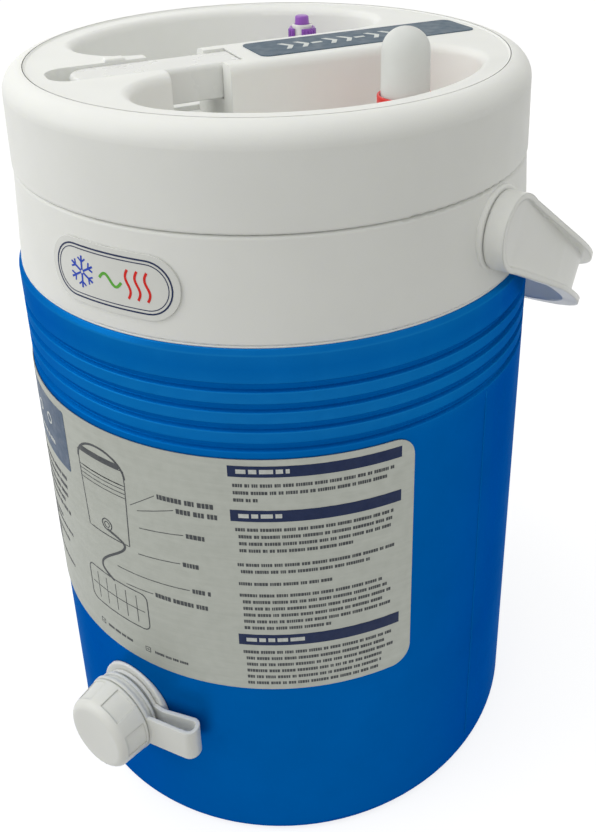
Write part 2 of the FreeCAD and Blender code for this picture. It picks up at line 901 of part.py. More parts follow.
def make_flip_lever():
    """Lever that opens the pour bore: tip plate, deeper grip and a knuckle on the pin."""
    plate = prism([
        (lever_tip_u, -lever_half_w, lever_tip_corner_r),
        (lever_pivot_u, -lever_half_w),
        (lever_pivot_u, lever_half_w),
        (lever_tip_u, lever_half_w, lever_tip_corner_r),
    ], lever_top_z - lever_t, lever_top_z)
    grip = box_of(grip_left_u, lever_pivot_u, -lever_half_w, lever_half_w,
                  lever_top_z - lever_grip_drop, lever_top_z)
    knuckle = lever_pin_bar(lever_knuckle_r, lever_half_w)
    knuckle = knuckle.common(box_of(gap_left_u, 0, -lever_half_w, lever_half_w, pocket_floor_z, lever_top_z))
    lever = plate.fuse([grip, knuckle]).removeSplitter()
    lever = lever.cut(lever_pin_bar(lever_pin_r + running_gap, lever_half_w + over))
    half = lever_half_w - grip_wall
    hollow = box_of(grip_left_u + grip_wall, lever_pivot_u - lever_knuckle_r - grip_knuckle_wall,
                    -half, half, lever_top_z - lever_grip_drop - over, lever_top_z - lever_top_wall)
    lever = lever.cut(hollow)
    long_edges = [edge for edge in lever.Edges if is_lever_rim(edge)]
    return in_lid(lever.makeFillet(lever_edge_round, long_edges))


def is_lever_rim(edge):
    """True for the outer edges of the lever's top face."""
    box = edge.BoundBox
    flat = box.ZMax - box.ZMin < 1e-3 and abs(box.ZMax - lever_top_z) < 1e-3
    return flat and box.XMin < lever_pivot_u


def make_lever_pin():
    """Steel pin of the flip lever."""
    return in_lid(lever_pin_bar(lever_pin_r, lever_pin_half()))


def make_lever_plug():
    """Silicone sleeve under the lever's tip, which closes it, seated in the pour bore."""
    top = lever_top_z - lever_t
    outer = pour_bore_r - nest_gap
    inner = outer - pour_plug_taper - pour_plug_wall
    plug = turned([
        (inner, channel_floor_z - pour_plug_h),
        (outer - pour_plug_taper, channel_floor_z - pour_plug_h, edge_round),
        (outer, top),
        (inner, top),
    ])
    return in_lid(moved(plug, x=pour_u))


# ---- Vent and valve on the lid ------------------------------------------------------------------
def at_vent(shape):
    """Place a shape on the vent's axis."""
    return in_lid(moved(shape, vent_u, vent_v))


def at_valve(shape):
    """Place a shape on the valve's axis."""
    return in_lid(moved(shape, valve_u, valve_v))


def make_vent_base():
    """Red base of the vent: foot, barrel, dome cup and the stem through the lid."""
    stem_low = pan_low_z - lock_nut_t - stem_past_nut
    foot_z = pocket_floor_z + seal_t
    ring_top = vent_ring_z + vent_ring_h
    base = turned([
        (vent_bore_r, stem_low),
        (vent_stem_r, stem_low, fine_round),
        (vent_stem_r, foot_z),
        (vent_foot_r, foot_z, fine_round),
        (vent_foot_r, foot_z + vent_foot_t, edge_round),
        (vent_barrel_r, foot_z + vent_foot_t, edge_round),
        (vent_barrel_r, vent_ring_z - vent_flare, edge_round),
        (vent_ring_r, vent_ring_z, fine_round),
        (vent_ring_r, ring_top, fine_round),
        (dome_r + nest_gap, ring_top, fine_round / 2),
        (dome_r + nest_gap, vent_seat_z),
        (vent_bore_r, vent_seat_z),
    ])
    return at_vent(base)


def seal_ring(foot_r, stem_r):
    """Flat ring between a fitting's foot and the pocket's floor."""
    return tube(foot_r - seal_inset, stem_r + nest_gap, pocket_floor_z, pocket_floor_z + seal_t)


def make_vent_seal():
    """Flat seal under the vent's foot."""
    return at_vent(seal_ring(vent_foot_r, vent_stem_r))


def make_vent_nut():
    """Lock nut of the vent, under the lid's pan."""
    nut = hexagon(vent_stem_r + lock_nut_wall, pan_low_z - lock_nut_t, pan_low_z)
    return at_vent(nut.cut(rod(vent_stem_r + running_gap, 0, lid_top_z)))


def make_vent_poppet():
    """Stem of the vent's relief valve, seen through the dome."""
    head_z = vent_seat_z + poppet_head_h
    head_r = dome_r - dome_wall - poppet_room
    poppet = turned([
        (0, pan_low_z - lock_nut_t),
        (vent_bore_r - nest_gap, pan_low_z - lock_nut_t),
        (vent_bore_r - nest_gap, vent_seat_z),
        (head_r, vent_seat_z),
        (head_r, head_z, fine_round),
        (poppet_r, head_z),
        (poppet_r, poppet_top_z, edge_round),
        (0, poppet_top_z),
    ])
    return at_vent(poppet)


def dome_corners(inset, low_z):
    """Profile of the dome, drawn in by an inset."""
    r = dome_r - inset
    top = dome_top_z - inset
    crown_r = r - dome_draft
    return [(0, low_z), (r, low_z), (crown_r, top, crown_r - dome_draft / 4), (0, top)]


def make_vent_dome():
    """Soft translucent dome pushed into the vent's cup."""
    shell = turned(dome_corners(0, vent_seat_z))
    return at_vent(shell.cut(turned(dome_corners(dome_wall, vent_seat_z - over))))


def make_valve_body():
    """White body of the push valve: foot, barrel and the stem through the lid."""
    stem_low = pan_low_z - lock_nut_t - stem_past_nut
    foot_z = pocket_floor_z + seal_t
    collar_seat = valve_collar_z - nest_gap
    barrel = turned([
        (0, stem_low),
        (valve_stem_r, stem_low, fine_round),
        (valve_stem_r, foot_z),
        (valve_foot_r, foot_z, fine_round),
        (valve_foot_r, foot_z + valve_foot_t, edge_round),
        (valve_r + valve_collar_wall, foot_z + valve_foot_t),
        (valve_r + valve_collar_wall, collar_seat, fine_round),
        (valve_r, collar_seat),
        (valve_r, valve_top_z, fine_round),
        (0, valve_top_z),
    ])
    well_z = button_low_z() - button_stroke - nest_gap
    barrel = barrel.cut(rod(button_r + nest_gap / 2, well_z, lid_top_z))
    shaft_z = well_z - spring_room()
    barrel = barrel.cut(rod(spring_r() + spring_wire, shaft_z, lid_top_z))
    return at_valve(barrel.cut(rod(button_stem_r + nest_gap, stem_low - over, lid_top_z)))


def button_low_z():
    """Height of the underside of the button's head."""
    return valve_top_z - button_sink


def spring_r():
    """Coil radius of the valve's spring."""
    return button_stem_r + nest_gap + spring_wire


def spring_room():
    """Height of the spring's chamber below the button's well."""
    return spring_coils * spring_wire * spring_pitch_share


def make_valve_collar():
    """Purple turning collar with two ribbed wings round the valve's barrel."""
    inner = valve_r + nest_gap
    outer = inner + valve_collar_wall
    ring = tube(outer, inner, valve_collar_z, valve_collar_z + valve_collar_h)
    sleeve = tube(outer, inner, valve_collar_z + valve_collar_h, valve_wing_top_z)
    pitch = valve_wing_deg / valve_rib_count
    for side in (0, 180):
        half = math.radians(valve_wing_deg / 2)
        far = 3 * outer
        wedge = prism([
            (0, 0),
            (far * math.cos(half), -far * math.sin(half)),
            (far, -far * math.sin(half)),
            (far, far * math.sin(half)),
            (far * math.cos(half), far * math.sin(half)),
        ], valve_collar_z, valve_wing_top_z)
        ring = ring.fuse(sleeve.common(spun(wedge, side)))
        for i in range(valve_rib_count):
            angle = side + (i - (valve_rib_count - 1) / 2) * pitch
            rib = box_of(outer - valve_rib_h, outer + valve_rib_h, -valve_rib_w / 2, valve_rib_w / 2,
                         valve_collar_z + valve_rib_end, valve_wing_top_z - valve_rib_end)
            ring = ring.fuse(spun(rib, angle))
    return at_valve(spun(ring.removeSplitter(), valve_wing_turn))


def make_valve_button():
    """Purple push button with its stem down the barrel."""
    low = button_low_z()
    button = turned([
        (0, pan_low_z - lock_nut_t + button_stroke),
        (button_stem_r, pan_low_z - lock_nut_t + button_stroke),
        (button_stem_r, low),
        (button_r, low),
        (button_r - button_taper, button_top_z, edge_round),
        (0, button_top_z),
    ])
    return at_valve(button)


def make_valve_spring():
    """Coil spring that lifts the button."""
    low = button_low_z() - button_stroke - nest_gap - spring_room() + spring_wire / 2
    high = button_low_z() - spring_wire / 2
    height = high - low
    radius = spring_r()
    pitch = height / spring_coils
    helix = Part.makeHelix(pitch, height, radius)
    slope = math.atan2(pitch, 2 * math.pi * radius)
    along = FreeCAD.Vector(0, math.cos(slope), math.sin(slope))
    section = Part.Wire(Part.makeCircle(spring_wire / 2, FreeCAD.Vector(radius, 0, 0), along))
    coil = Part.Wire(helix).makePipeShell([section], True, True)
    return at_valve(moved(coil, z=low))


def make_valve_seal():
    """Flat seal under the valve's foot."""
    return at_valve(seal_ring(valve_foot_r, valve_stem_r))


def make_valve_nut():
    """Lock nut of the valve, under the lid's pan."""
    nut = hexagon(valve_stem_r + lock_nut_wall, pan_low_z - lock_nut_t, pan_low_z)
    return at_valve(nut.cut(rod(valve_stem_r + running_gap, 0, lid_top_z)))


# ---- Bail ---------------------------------------------------------------------------------------
def bail_reach():
    """Distance from the pivot axis to the inside of the grip, so that it rests on the body."""
    lean = math.radians(bail_rest_deg)
    contact_z = pivot_z - bail_arm_half_w * math.sin(lean)
    wall_y = body_r_at(contact_z) + rest_gap
    return (wall_y + bail_half_h * math.sin(lean)) / math.cos(lean)


def bail_plan(inset, hub_inset, low, high):
    """Bow-shaped block: the bail's outer plan drawn in by an inset, and by another at its hubs."""
    wide = bail_arm_half_w - inset
    hub = bail_hub_face_x - hub_inset
    far = bail_reach() + bail_web_t + bail_lip_w - inset
    full_y = bail_arm_len + (far - bail_arm_len) * bail_bow_fullness
    start = -bail_hub_r - bail_start
    edges = [Part.makeLine(level(-hub, start), level(hub, start))]
    for side in (-1, 1):
        shoulder = level(side * wide, bail_arm_len)
        bow = Part.BezierCurve()
        bow.setPoles([
            shoulder,
            level(side * wide, full_y),
            level(side * wide * bail_bow_fullness, far),
            level(0, far),
        ])
        edges.append(Part.makeLine(level(side * hub, start), level(side * hub, 0)))
        edges.append(Part.makeLine(level(side * hub, 0), shoulder))
        edges.append(bow.toShape())
    floor = Part.Face(Part.Wire(Part.__sortEdges__(edges)))
    floor.translate(FreeCAD.Vector(0, 0, low))
    return floor.extrude(FreeCAD.Vector(0, 0, high - low))


def bail_side(inset):
    """Side view of the bail, a round hub that narrows to the arm, run across the whole width."""
    hub = bail_hub_r - inset
    half = bail_half_h - inset
    far = 2 * bail_reach()
    arm = outline([
        (0, nest_gap - hub),
        (bail_arm_len, -half, bail_arm_round),
        (far, -half),
        (far, half),
        (bail_arm_len, half, bail_arm_round),
        (0, hub - nest_gap),
    ], sideways)
    width = 4 * bail_arm_half_w
    side = Part.Face(arm).extrude(FreeCAD.Vector(width, 0, 0))
    side.translate(FreeCAD.Vector(-width / 2, 0, 0))
    disc = Part.makeCylinder(hub, width, FreeCAD.Vector(-width / 2, 0, 0), ALONG_X)
    return side.fuse(disc)


def make_bail():
    """Carrying bail: an outward-facing channel between two round hubs, resting on the body's back."""
    high = bail_hub_r + over
    inner = bail_lip_w + bail_web_t
    blank = bail_plan(0, 0, -high, high)
    hollow = bail_plan(inner, inner, -high - over, high + over)
    bow = blank.cut(hollow).common(bail_side(0))
    hub_in = pad_face_x + swing_gap
    for side in (-1, 1):
        begin = FreeCAD.Vector(side * hub_in, 0, 0)
        hub = Part.makeCylinder(bail_hub_r, bail_hub_face_x - hub_in, begin, FreeCAD.Vector(side, 0, 0))
        bow = bow.fuse(hub)
    outside = bail_plan(-bail_lip_w, -bail_lip_w, -high, high)
    outside = outside.cut(bail_plan(bail_lip_w, bail_hub_dish, -high - over, high + over))
    bow = bow.cut(outside.common(bail_side(bail_lip_t)))
    for side in (-1, 1):
        begin = FreeCAD.Vector(side * (hub_in - over), 0, 0)
        bore = Part.makeCylinder(pin_r + running_gap, bail_pin_depth + over, begin,
                                 FreeCAD.Vector(side, 0, 0))
        bow = bow.cut(bore)
    return moved(spun(bow, -bail_rest_deg, ALONG_X), z=pivot_z)


# ---- Drain --------------------------------------------------------------------------------------
def drain_wall():
    """Upright cylinder in the jug's place, seen from the drain's own frame."""
    wall = Part.makeCylinder(body_r_at(drain_z) + nest_gap, 4 * drain_flange_r,
                             FreeCAD.Vector(0, 0, drain_z - 2 * drain_flange_r))
    return wall


def make_drain_spigot():
    """Flanged spigot: saddle flange, threaded outlet and the stem through the jug's wall."""
    nut_out = liner_r_at(drain_z) - drain_gasket_t - drain_nut_t
    stem = rod(spigot_root_r, nut_out - over, drain_flange_out)
    flange = turned([
        (0, drain_flange_out - drain_flange_t),
        (drain_flange_r, drain_flange_out - drain_flange_t),
        (drain_flange_r, drain_flange_out, edge_round),
        (0, drain_flange_out),
    ])
    flange = to_front(flange).cut(drain_wall())
    outlet = turned([
        (0, drain_flange_out - over),
        (spigot_root_r, drain_flange_out - over),
        (spigot_root_r, spigot_end_out, fine_round),
        (0, spigot_end_out),
    ])
    first_out = spigot_end_out - thread_runout - cap_thread_lead * spigot_thread_turn
    ridge = thread(spigot_root_r, cap_thread_lead, spigot_thread_turn, first_out, 0,
                   cap_thread_h, cap_thread_w, True)
    spigot = flange.fuse([to_front(stem), to_front(outlet.fuse(ridge))])
    return spigot.cut(to_front(rod(spigot_bore_r, nut_out - 2 * over, spigot_end_out + over)))


def make_drain_gasket():
    """Seal between the liner and the lock nut, saddle-shaped on the wall's side."""
    wall_out = liner_r_at(drain_z) - nest_gap
    ring = tube(drain_gasket_r, spigot_root_r + nest_gap, wall_out - drain_gasket_t - drain_saddle, wall_out)
    inside = Part.makeCylinder(wall_out, 4 * drain_gasket_r,
                               FreeCAD.Vector(0, 0, drain_z - 2 * drain_gasket_r))
    return to_front(ring).common(inside)


def make_drain_nut():
    """Lock nut inside the tank."""
    high = liner_r_at(drain_z) - nest_gap - drain_gasket_t - drain_saddle
    low = high - drain_nut_t
    nut = hexagon(drain_nut_r, low, high)
    return to_front(nut.cut(rod(spigot_root_r + running_gap, low - over, high + over)))


def cap_r_at(out):
    """Outer radius of the cap's crown at a distance out."""
    share = (out - cap_neck_out) / (cap_face_out - cap_neck_out)
    return cap_r + (cap_front_r - cap_r) * share


def make_drain_cap():
    """Screw cap: rounded crown, shallow grip panels, a neck for its tether and a thread."""
    cap = turned([
        (0, cap_foot_out),
        (cap_neck_r + cap_foot_lip, cap_foot_out, fine_round),
        (cap_neck_r + cap_foot_lip, cap_foot_out + cap_foot_t, fine_round / 2),
        (cap_neck_r, cap_foot_out + cap_foot_t),
        (cap_neck_r, cap_neck_out),
        (cap_r, cap_neck_out, fine_round),
        (cap_front_r, cap_face_out, cap_round),
        (0, cap_face_out),
    ])
    cap = cap.cut(rod(cap_bore_r, cap_foot_out - over, cap_ceiling_out))
    low = cap_neck_out + cap_panel_inset
    high = cap_face_out - cap_round + cap_panel_depth
    sleeve = turned([
        (cap_r_at(low) - cap_panel_depth, low),
        (2 * cap_r, low),
        (2 * cap_r, high),
        (cap_r_at(high) - cap_panel_depth, high),
    ])
    panel = sleeve.common(box_of(0, 2 * cap_r, -cap_panel_w / 2, cap_panel_w / 2, low, high))
    for i in range(cap_panel_count):
        cap = cap.cut(spun(panel, 360 / cap_panel_count * i + cap_panel_turn))
    first_out = spigot_end_out - thread_runout - cap_thread_lead * spigot_thread_turn
    ridge = thread(cap_bore_r, cap_thread_lead, cap_thread_turn, first_out + cap_thread_lead / 2, 0,
                   cap_thread_h, cap_thread_w, False)
    return to_front(cap.fuse(ridge))


def make_drain_cap_seal():
    """Sealing disc in the crown of the cap."""
    return to_front(rod(cap_bore_r - nest_gap, spigot_end_out, cap_ceiling_out))


def make_cap_tether():
    """Folded strap from a ring on the spigot to a ring on the cap's neck."""
    rear_low = drain_flange_out + nest_gap
    rear_out = rear_low + tether_ring_t / 2
    front_low = cap_neck_out - nest_gap - tether_ring_t
    front_out = front_low + tether_ring_t / 2
    neck_gap_r = cap_neck_r + nest_gap
    front_ring_r = neck_gap_r + tether_front_ring_w
    start_x = tether_rear_ring_r - tether_ring_t
    path = outline([
        (start_x, -rear_out),
        (tether_bend_x, -rear_out, tether_bend_round),
        (tether_near_x, -tether_near_out, tether_near_round),
        (tether_loop_x, -tether_loop_out, tether_loop_round),
        (tether_front_x, -tether_front_out, tether_front_round),
        (start_x, -front_out),
    ], level, closed=False)
    near = -rear_out + tether_t / 2
    far = -rear_out - tether_t / 2
    section = Part.makePolygon([
        FreeCAD.Vector(start_x, far, 0),
        FreeCAD.Vector(start_x, near, 0),
        FreeCAD.Vector(start_x, near, tether_h),
        FreeCAD.Vector(start_x, far, tether_h),
        FreeCAD.Vector(start_x, far, 0),
    ])
    strap = moved(path.makePipeShell([section], True, False), z=drain_z - tether_h / 2)
    rear_ring = to_front(tube(tether_rear_ring_r, spigot_crest_r + nest_gap, rear_low,
                              rear_low + tether_ring_t))
    front_ring = to_front(tube(front_ring_r, neck_gap_r, front_low, front_low + tether_ring_t))
    cap_room = to_front(rod(neck_gap_r, cap_foot_out - nest_gap, cap_face_out))
    spigot_room = to_front(rod(spigot_crest_r + nest_gap, drain_flange_out, cap_face_out))
    return strap.cut(cap_room.fuse(spigot_room)).fuse([rear_ring, front_ring])


# ---- Labels -------------------------------------------------------------------------------------
def body_skin(gap, low, high):
    """Cone that follows the body's wall at a gap outside it."""
    return turned([(0, low), (body_r_at(low) + gap, low), (body_r_at(high) + gap, high), (0, high)])


def collar_skin(gap, low, high):
    """Cone that follows the collar's wall at a gap outside it."""
    return turned([(0, low), (collar_r_at(low) + gap, low), (collar_r_at(high) + gap, high), (0, high)])


def make_front_label():
    """Printed label wrapped round the front of the body."""
    skin = body_skin(label_gap + label_t, label_from_z, label_to_z)
    skin = skin.cut(body_skin(label_gap, label_from_z, label_to_z))
    reach = 2 * body_top_r
    half = math.radians(label_half_deg)
    wedge = prism([
        (0, 0),
        (-reach * math.sin(half), -reach * math.cos(half)),
        (-reach, -reach),
        (reach, -reach),
        (reach * math.sin(half), -reach * math.cos(half)),
    ], label_from_z, label_to_z)
    label = skin.common(wedge)
    corner_deg = math.degrees(label_corner_r / body_r_at(label_from_z))
    for side in (-1, 1):
        for z, up in ((label_from_z, 1), (label_to_z, -1)):
            label = label.cut(label_corner(side, z, up, corner_deg))
    return label


def label_corner(side, z, up, corner_deg):
    """Radial cutter that rounds one corner of the label."""
    r = label_corner_r
    low, high = sorted((z - up, z + up * r))
    block = box_of(0, r + over, 0, 2 * body_top_r, low, high)
    block.rotate(ORIGIN, UP, 180)
    if side > 0:
        block = block.mirror(ORIGIN, ALONG_X)
    begin = FreeCAD.Vector(0, 0, z + up * r)
    drill = Part.makeCylinder(r, 4 * body_top_r, begin, FreeCAD.Vector(0, -1, 0))
    return spun(block.cut(drill), side * (label_half_deg - corner_deg))


def make_badge():
    """Oval badge on the front of the collar."""
    end = badge_half_h - fine_round / 8
    plan = outline([
        (-badge_half_len, badge_z - badge_half_h, end),
        (badge_half_len, badge_z - badge_half_h, end),
        (badge_half_len, badge_z + badge_half_h, end),
        (-badge_half_len, badge_z + badge_half_h, end),
    ], upright)
    beam = Part.Face(plan).extrude(FreeCAD.Vector(0, -2 * collar_foot_r, 0))
    low = badge_z - badge_half_h - over
    high = badge_z + badge_half_h + over
    near = collar_skin(label_gap, low, high)
    far = collar_skin(label_gap + badge_t, low, high)
    return spun(beam.common(far.cut(near)), badge_azimuth)


# ---- Build --------------------------------------------------------------------------------------
PARTS = {
    "outer_body": make_outer_body,
    "fill_plug": make_fill_plug,
    "inner_liner": make_inner_liner,
    "foam_insulation": make_foam_insulation,
    "collar": make_collar,
    "pivot_pin_left": lambda: make_pivot_pin(-1),
    "pivot_pin_right": lambda: make_pivot_pin(1),
    "front_label": make_front_label,
    "badge": make_badge,
    "lid_shell": make_lid_shell,
    "lid_foam": make_lid_foam,
    "lid_pan": make_lid_pan,
    "lid_gasket": make_lid_gasket,
    "lid_strip": make_lid_strip,
    "flip_lever": make_flip_lever,
    "lever_pin": make_lever_pin,
    "lever_plug": make_lever_plug,
    "vent_base": make_vent_base,
    "vent_seal": make_vent_seal,
    "vent_nut": make_vent_nut,
    "vent_poppet": make_vent_poppet,
    "vent_dome": make_vent_dome,
    "valve_body": make_valve_body,
    "valve_collar": make_valve_collar,
    "valve_button": make_valve_button,
    "valve_spring": make_valve_spring,
    "valve_seal": make_valve_seal,
    "valve_nut": make_valve_nut,
    "bail_handle": make_bail,
    "drain_spigot": make_drain_spigot,
    "drain_gasket": make_drain_gasket,
    "drain_nut": make_drain_nut,
    "drain_cap": make_drain_cap,
    "drain_cap_seal": make_drain_cap_seal,
    "cap_tether": make_cap_tether,
}

os.makedirs("parts", exist_ok=True)
for node, make in PARTS.items():
    shape = make()
    box = shape.optimalBoundingBox()
    print(f"{node:18s} solids {len(shape.Solids)} valid {shape.isValid()} volume {shape.Volume:11.1f}")
    print(f"    x {box.XMin:8.2f} {box.XMax:8.2f}  y {box.YMin:8.2f} {box.YMax:8.2f}  "
          f"z {box.ZMin:7.2f} {box.ZMax:7.2f}")
    shape.exportStep(f"parts/{node}.step")
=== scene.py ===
import bpy
import math
import random
from mathutils import Matrix, Vector


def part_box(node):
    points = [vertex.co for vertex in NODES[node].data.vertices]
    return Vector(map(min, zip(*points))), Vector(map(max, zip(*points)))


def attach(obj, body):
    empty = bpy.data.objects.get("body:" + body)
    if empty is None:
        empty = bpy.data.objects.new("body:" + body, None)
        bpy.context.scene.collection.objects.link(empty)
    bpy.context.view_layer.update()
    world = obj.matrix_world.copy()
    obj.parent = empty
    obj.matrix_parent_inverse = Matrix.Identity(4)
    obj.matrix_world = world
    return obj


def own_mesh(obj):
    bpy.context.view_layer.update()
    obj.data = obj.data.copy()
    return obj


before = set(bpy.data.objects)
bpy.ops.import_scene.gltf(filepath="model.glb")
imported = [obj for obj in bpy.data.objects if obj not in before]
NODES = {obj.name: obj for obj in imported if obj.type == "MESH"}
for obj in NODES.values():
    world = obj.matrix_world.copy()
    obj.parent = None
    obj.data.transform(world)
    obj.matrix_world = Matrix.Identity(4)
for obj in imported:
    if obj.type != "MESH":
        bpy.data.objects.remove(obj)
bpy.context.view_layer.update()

# Looks of an insulated cooler jug with a screw lid, a carrying bail and a capped drain.
# Metres, +Z up, -Y front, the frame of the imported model. Angles round the jug are measured
# from the front, and grow towards +X.

MM = 0.001
random.seed(7)


# ---- Colours, as they look (sRGB) -----------------------------------------------------------------
WHITE = (240, 241, 238)
LEVER_WHITE = (231, 232, 230)
FITTING_WHITE = (230, 231, 227)
LINER_WHITE = (236, 238, 238)
BLUE = (0, 98, 178)
SHEEN_BLUE = (0, 150, 225)
# Painted highlight: the lighter blue laid on the ribs' sharp lips in place of lamp glints
LIP_HIGHLIGHT_BLUE = (50, 165, 225)
LABEL_GREY = (173, 176, 169)
INK = (78, 81, 85)
NAVY = (30, 44, 82)
PANEL_BLUE = (80, 98, 122)
STRIP_BLUE = (66, 88, 106)
PURPLE = (148, 84, 186)
RED = (222, 32, 24)
SNOW_BLUE = (30, 70, 190)
LEAF_GREEN = (96, 176, 60)
PALE = (214, 218, 216)
STEEL = (190, 190, 188)
SILICONE = (206, 208, 206)
FOAM = (238, 226, 186)


def linear(colour):
    """Scene-linear RGBA of an sRGB colour given as 0-255 numbers."""
    values = []
    for part in colour:
        share = part / 255
        values.append(share / 12.92 if share <= 0.04045 else ((share + 0.055) / 1.055) ** 2.4)
    return (*values, 1.0)


# The ribs' sharp lips get a painted highlight, a lighter blue: from this height, over this fade, between
# these curvatures
RIBS_LOW = 0.186
RIBS_FADE = (-0.004, 0.008)
LIP_HIGHLIGHT_SHARPNESS = (0.507, 0.532)


# ---- Materials ----------------------------------------------------------------------------------
class Nodes:
    """Small helper that wires a material's node tree."""

    def __init__(self, name):
        self.material = bpy.data.materials.new(name)
        self.material.use_nodes = True
        self.tree = self.material.node_tree
        self.shader = self.tree.nodes["Principled BSDF"]
        self.place = self.tree.nodes.new("ShaderNodeTexCoord").outputs["Object"]

    def add(self, kind, **values):
        """A node with its settings and unlinked inputs set by name."""
        node = self.tree.nodes.new(kind)
        for key, value in values.items():
            if hasattr(node, key):
                setattr(node, key, value)
            else:
                node.inputs[key.replace("_", " ")].default_value = value
        return node

    def link(self, source, target):
        self.tree.links.new(source, target)

    def noise(self, scale, detail=2.0, rough=0.5, stretch=None):
        """Noise over the object's own coordinates; stretch squeezes it along the axes."""
        texture = self.add("ShaderNodeTexNoise", Scale=scale, Detail=detail, Roughness=rough)
        place = self.place
        if stretch:
            mapping = self.add("ShaderNodeMapping", Scale=stretch)
            self.link(place, mapping.inputs["Vector"])
            place = mapping.outputs["Vector"]
        self.link(place, texture.inputs["Vector"])
        return texture.outputs["Fac"]

    def spread(self, source, low, high, start=0.3, end=0.7):
        """Source stretched from start..end to low..high."""
        ramp = self.add("ShaderNodeMapRange")
        ramp.inputs["From Min"].default_value = start
        ramp.inputs["From Max"].default_value = end
        ramp.inputs["To Min"].default_value = low
        ramp.inputs["To Max"].default_value = high
        self.link(source, ramp.inputs["Value"])
        return ramp.outputs["Result"]

    def mixed(self, share, first, second):
        """Colour between two colours by a share."""
        mix = self.add("ShaderNodeMix", data_type="RGBA")
        if isinstance(first, tuple):
            mix.inputs[6].default_value = first
        else:
            self.link(first, mix.inputs[6])
        mix.inputs[7].default_value = second
        self.link(share, mix.inputs[0])
        return mix.outputs[2]

    def bumped(self, heights, edge=0.0):
        """Chain of bumps from (height, depth in metres) pairs into the normal, over rounded edges."""
        normal = self.add("ShaderNodeBevel", Radius=edge, samples=6).outputs["Normal"] if edge else None
        for height, depth in heights:
            bump = self.add("ShaderNodeBump", Distance=depth)
            bump.inputs["Strength"].default_value = 1.0
            self.link(height, bump.inputs["Height"])
            if normal:
                self.link(normal, bump.inputs["Normal"])
            normal = bump.outputs["Normal"]
        self.link(normal, self.shader.inputs["Normal"])


def shade_of(colour, factor):
    """Linear colour made darker or lighter."""
    red, green, blue, alpha = linear(colour)
    return (min(red * factor, 1), min(green * factor, 1), min(blue * factor, 1), alpha)


def plastic(name, colour, rough=0.42, grain=1400.0, grain_depth=0.00002, mottle=0.05, wave_depth=0.0001,
            subsurface=0.0, specular=0.5, metallic=0.0, edge=0.0, sheen=None, lip_highlight=None):
    """Moulded plastic: faint mottling, a fine grain, slow waves in the wall, soft edges and a painted
    highlight on sharp lips.
    """
    made = Nodes(name)
    cloud = made.noise(22.0, 4.0, 0.6)
    tint = made.mixed(made.spread(cloud, 0, 1), shade_of(colour, 1 - mottle), shade_of(colour, 1 + mottle))
    # Painted highlight: sharp convex edges above the ribs' lowest height take a lighter blue
    if lip_highlight:
        split = made.add("ShaderNodeSeparateXYZ")
        made.link(made.place, split.inputs["Vector"])
        ribbed = made.spread(split.outputs["Z"], 0, 1, RIBS_LOW + RIBS_FADE[0], RIBS_LOW + RIBS_FADE[1])
        curve = made.add("ShaderNodeNewGeometry").outputs["Pointiness"]
        sharp = made.spread(curve, 0, 1, *LIP_HIGHLIGHT_SHARPNESS)
        lip_highlight_share = made.add("ShaderNodeMath", operation="MULTIPLY")
        made.link(ribbed, lip_highlight_share.inputs[0])
        made.link(sharp, lip_highlight_share.inputs[1])
        tint = made.mixed(lip_highlight_share.outputs[0], tint, linear(lip_highlight))
    made.link(tint, made.shader.inputs["Base Color"])
    fine = made.noise(grain, 3.0, 0.6)
    smear = made.noise(70.0, 3.0, 0.6)
    made.link(made.spread(smear, rough - 0.06, rough + 0.06), made.shader.inputs["Roughness"])
    made.bumped([(made.noise(14.0, 2.0), wave_depth), (fine, grain_depth)], edge)
    made.shader.inputs["Specular IOR Level"].default_value = specular
    made.shader.inputs["Metallic"].default_value = metallic
    if sheen:
        made.shader.inputs["Specular Tint"].default_value = linear(sheen)
    if subsurface:
        made.shader.inputs["Subsurface Weight"].default_value = subsurface
        made.shader.inputs["Subsurface Radius"].default_value = (0.004, 0.004, 0.003)
        made.shader.inputs["Subsurface Scale"].default_value = 0.5
    return made.material


def printed(name, colour, rough=0.5):
    """Printing ink: slightly uneven, with a soft sheen."""
    made = Nodes(name)
    patch = made.noise(600.0, 3.0, 0.7)
    tint = made.mixed(made.spread(patch, 0, 1), shade_of(colour, 0.88), shade_of(colour, 1.12))
    made.link(tint, made.shader.inputs["Base Color"])
    made.link(made.spread(made.noise(250.0), rough - 0.08, rough + 0.08), made.shader.inputs["Roughness"])
    made.bumped([(made.noise(2200.0), 0.000008)])
    made.shader.inputs["Specular IOR Level"].default_value = 0.2
    return made.material


def silver_film():
    """Satin label film with a faint metallic sheen and fine streaks along its web."""
    made = Nodes("label_film")
    streak = made.noise(180.0, 4.0, 0.7, stretch=(0.25, 0.25, 3.0))
    tint = made.mixed(made.spread(streak, 0, 1), shade_of(LABEL_GREY, 0.96), shade_of(LABEL_GREY, 1.04))
    made.link(tint, made.shader.inputs["Base Color"])
    made.link(made.spread(made.noise(300.0, 4.0), 0.48, 0.60), made.shader.inputs["Roughness"])
    made.bumped([(made.noise(20.0, 2.0), 0.00008), (made.noise(1800.0), 0.000008)])
    made.shader.inputs["Metallic"].default_value = 0.75
    made.shader.inputs["Specular IOR Level"].default_value = 0.3
    return made.material


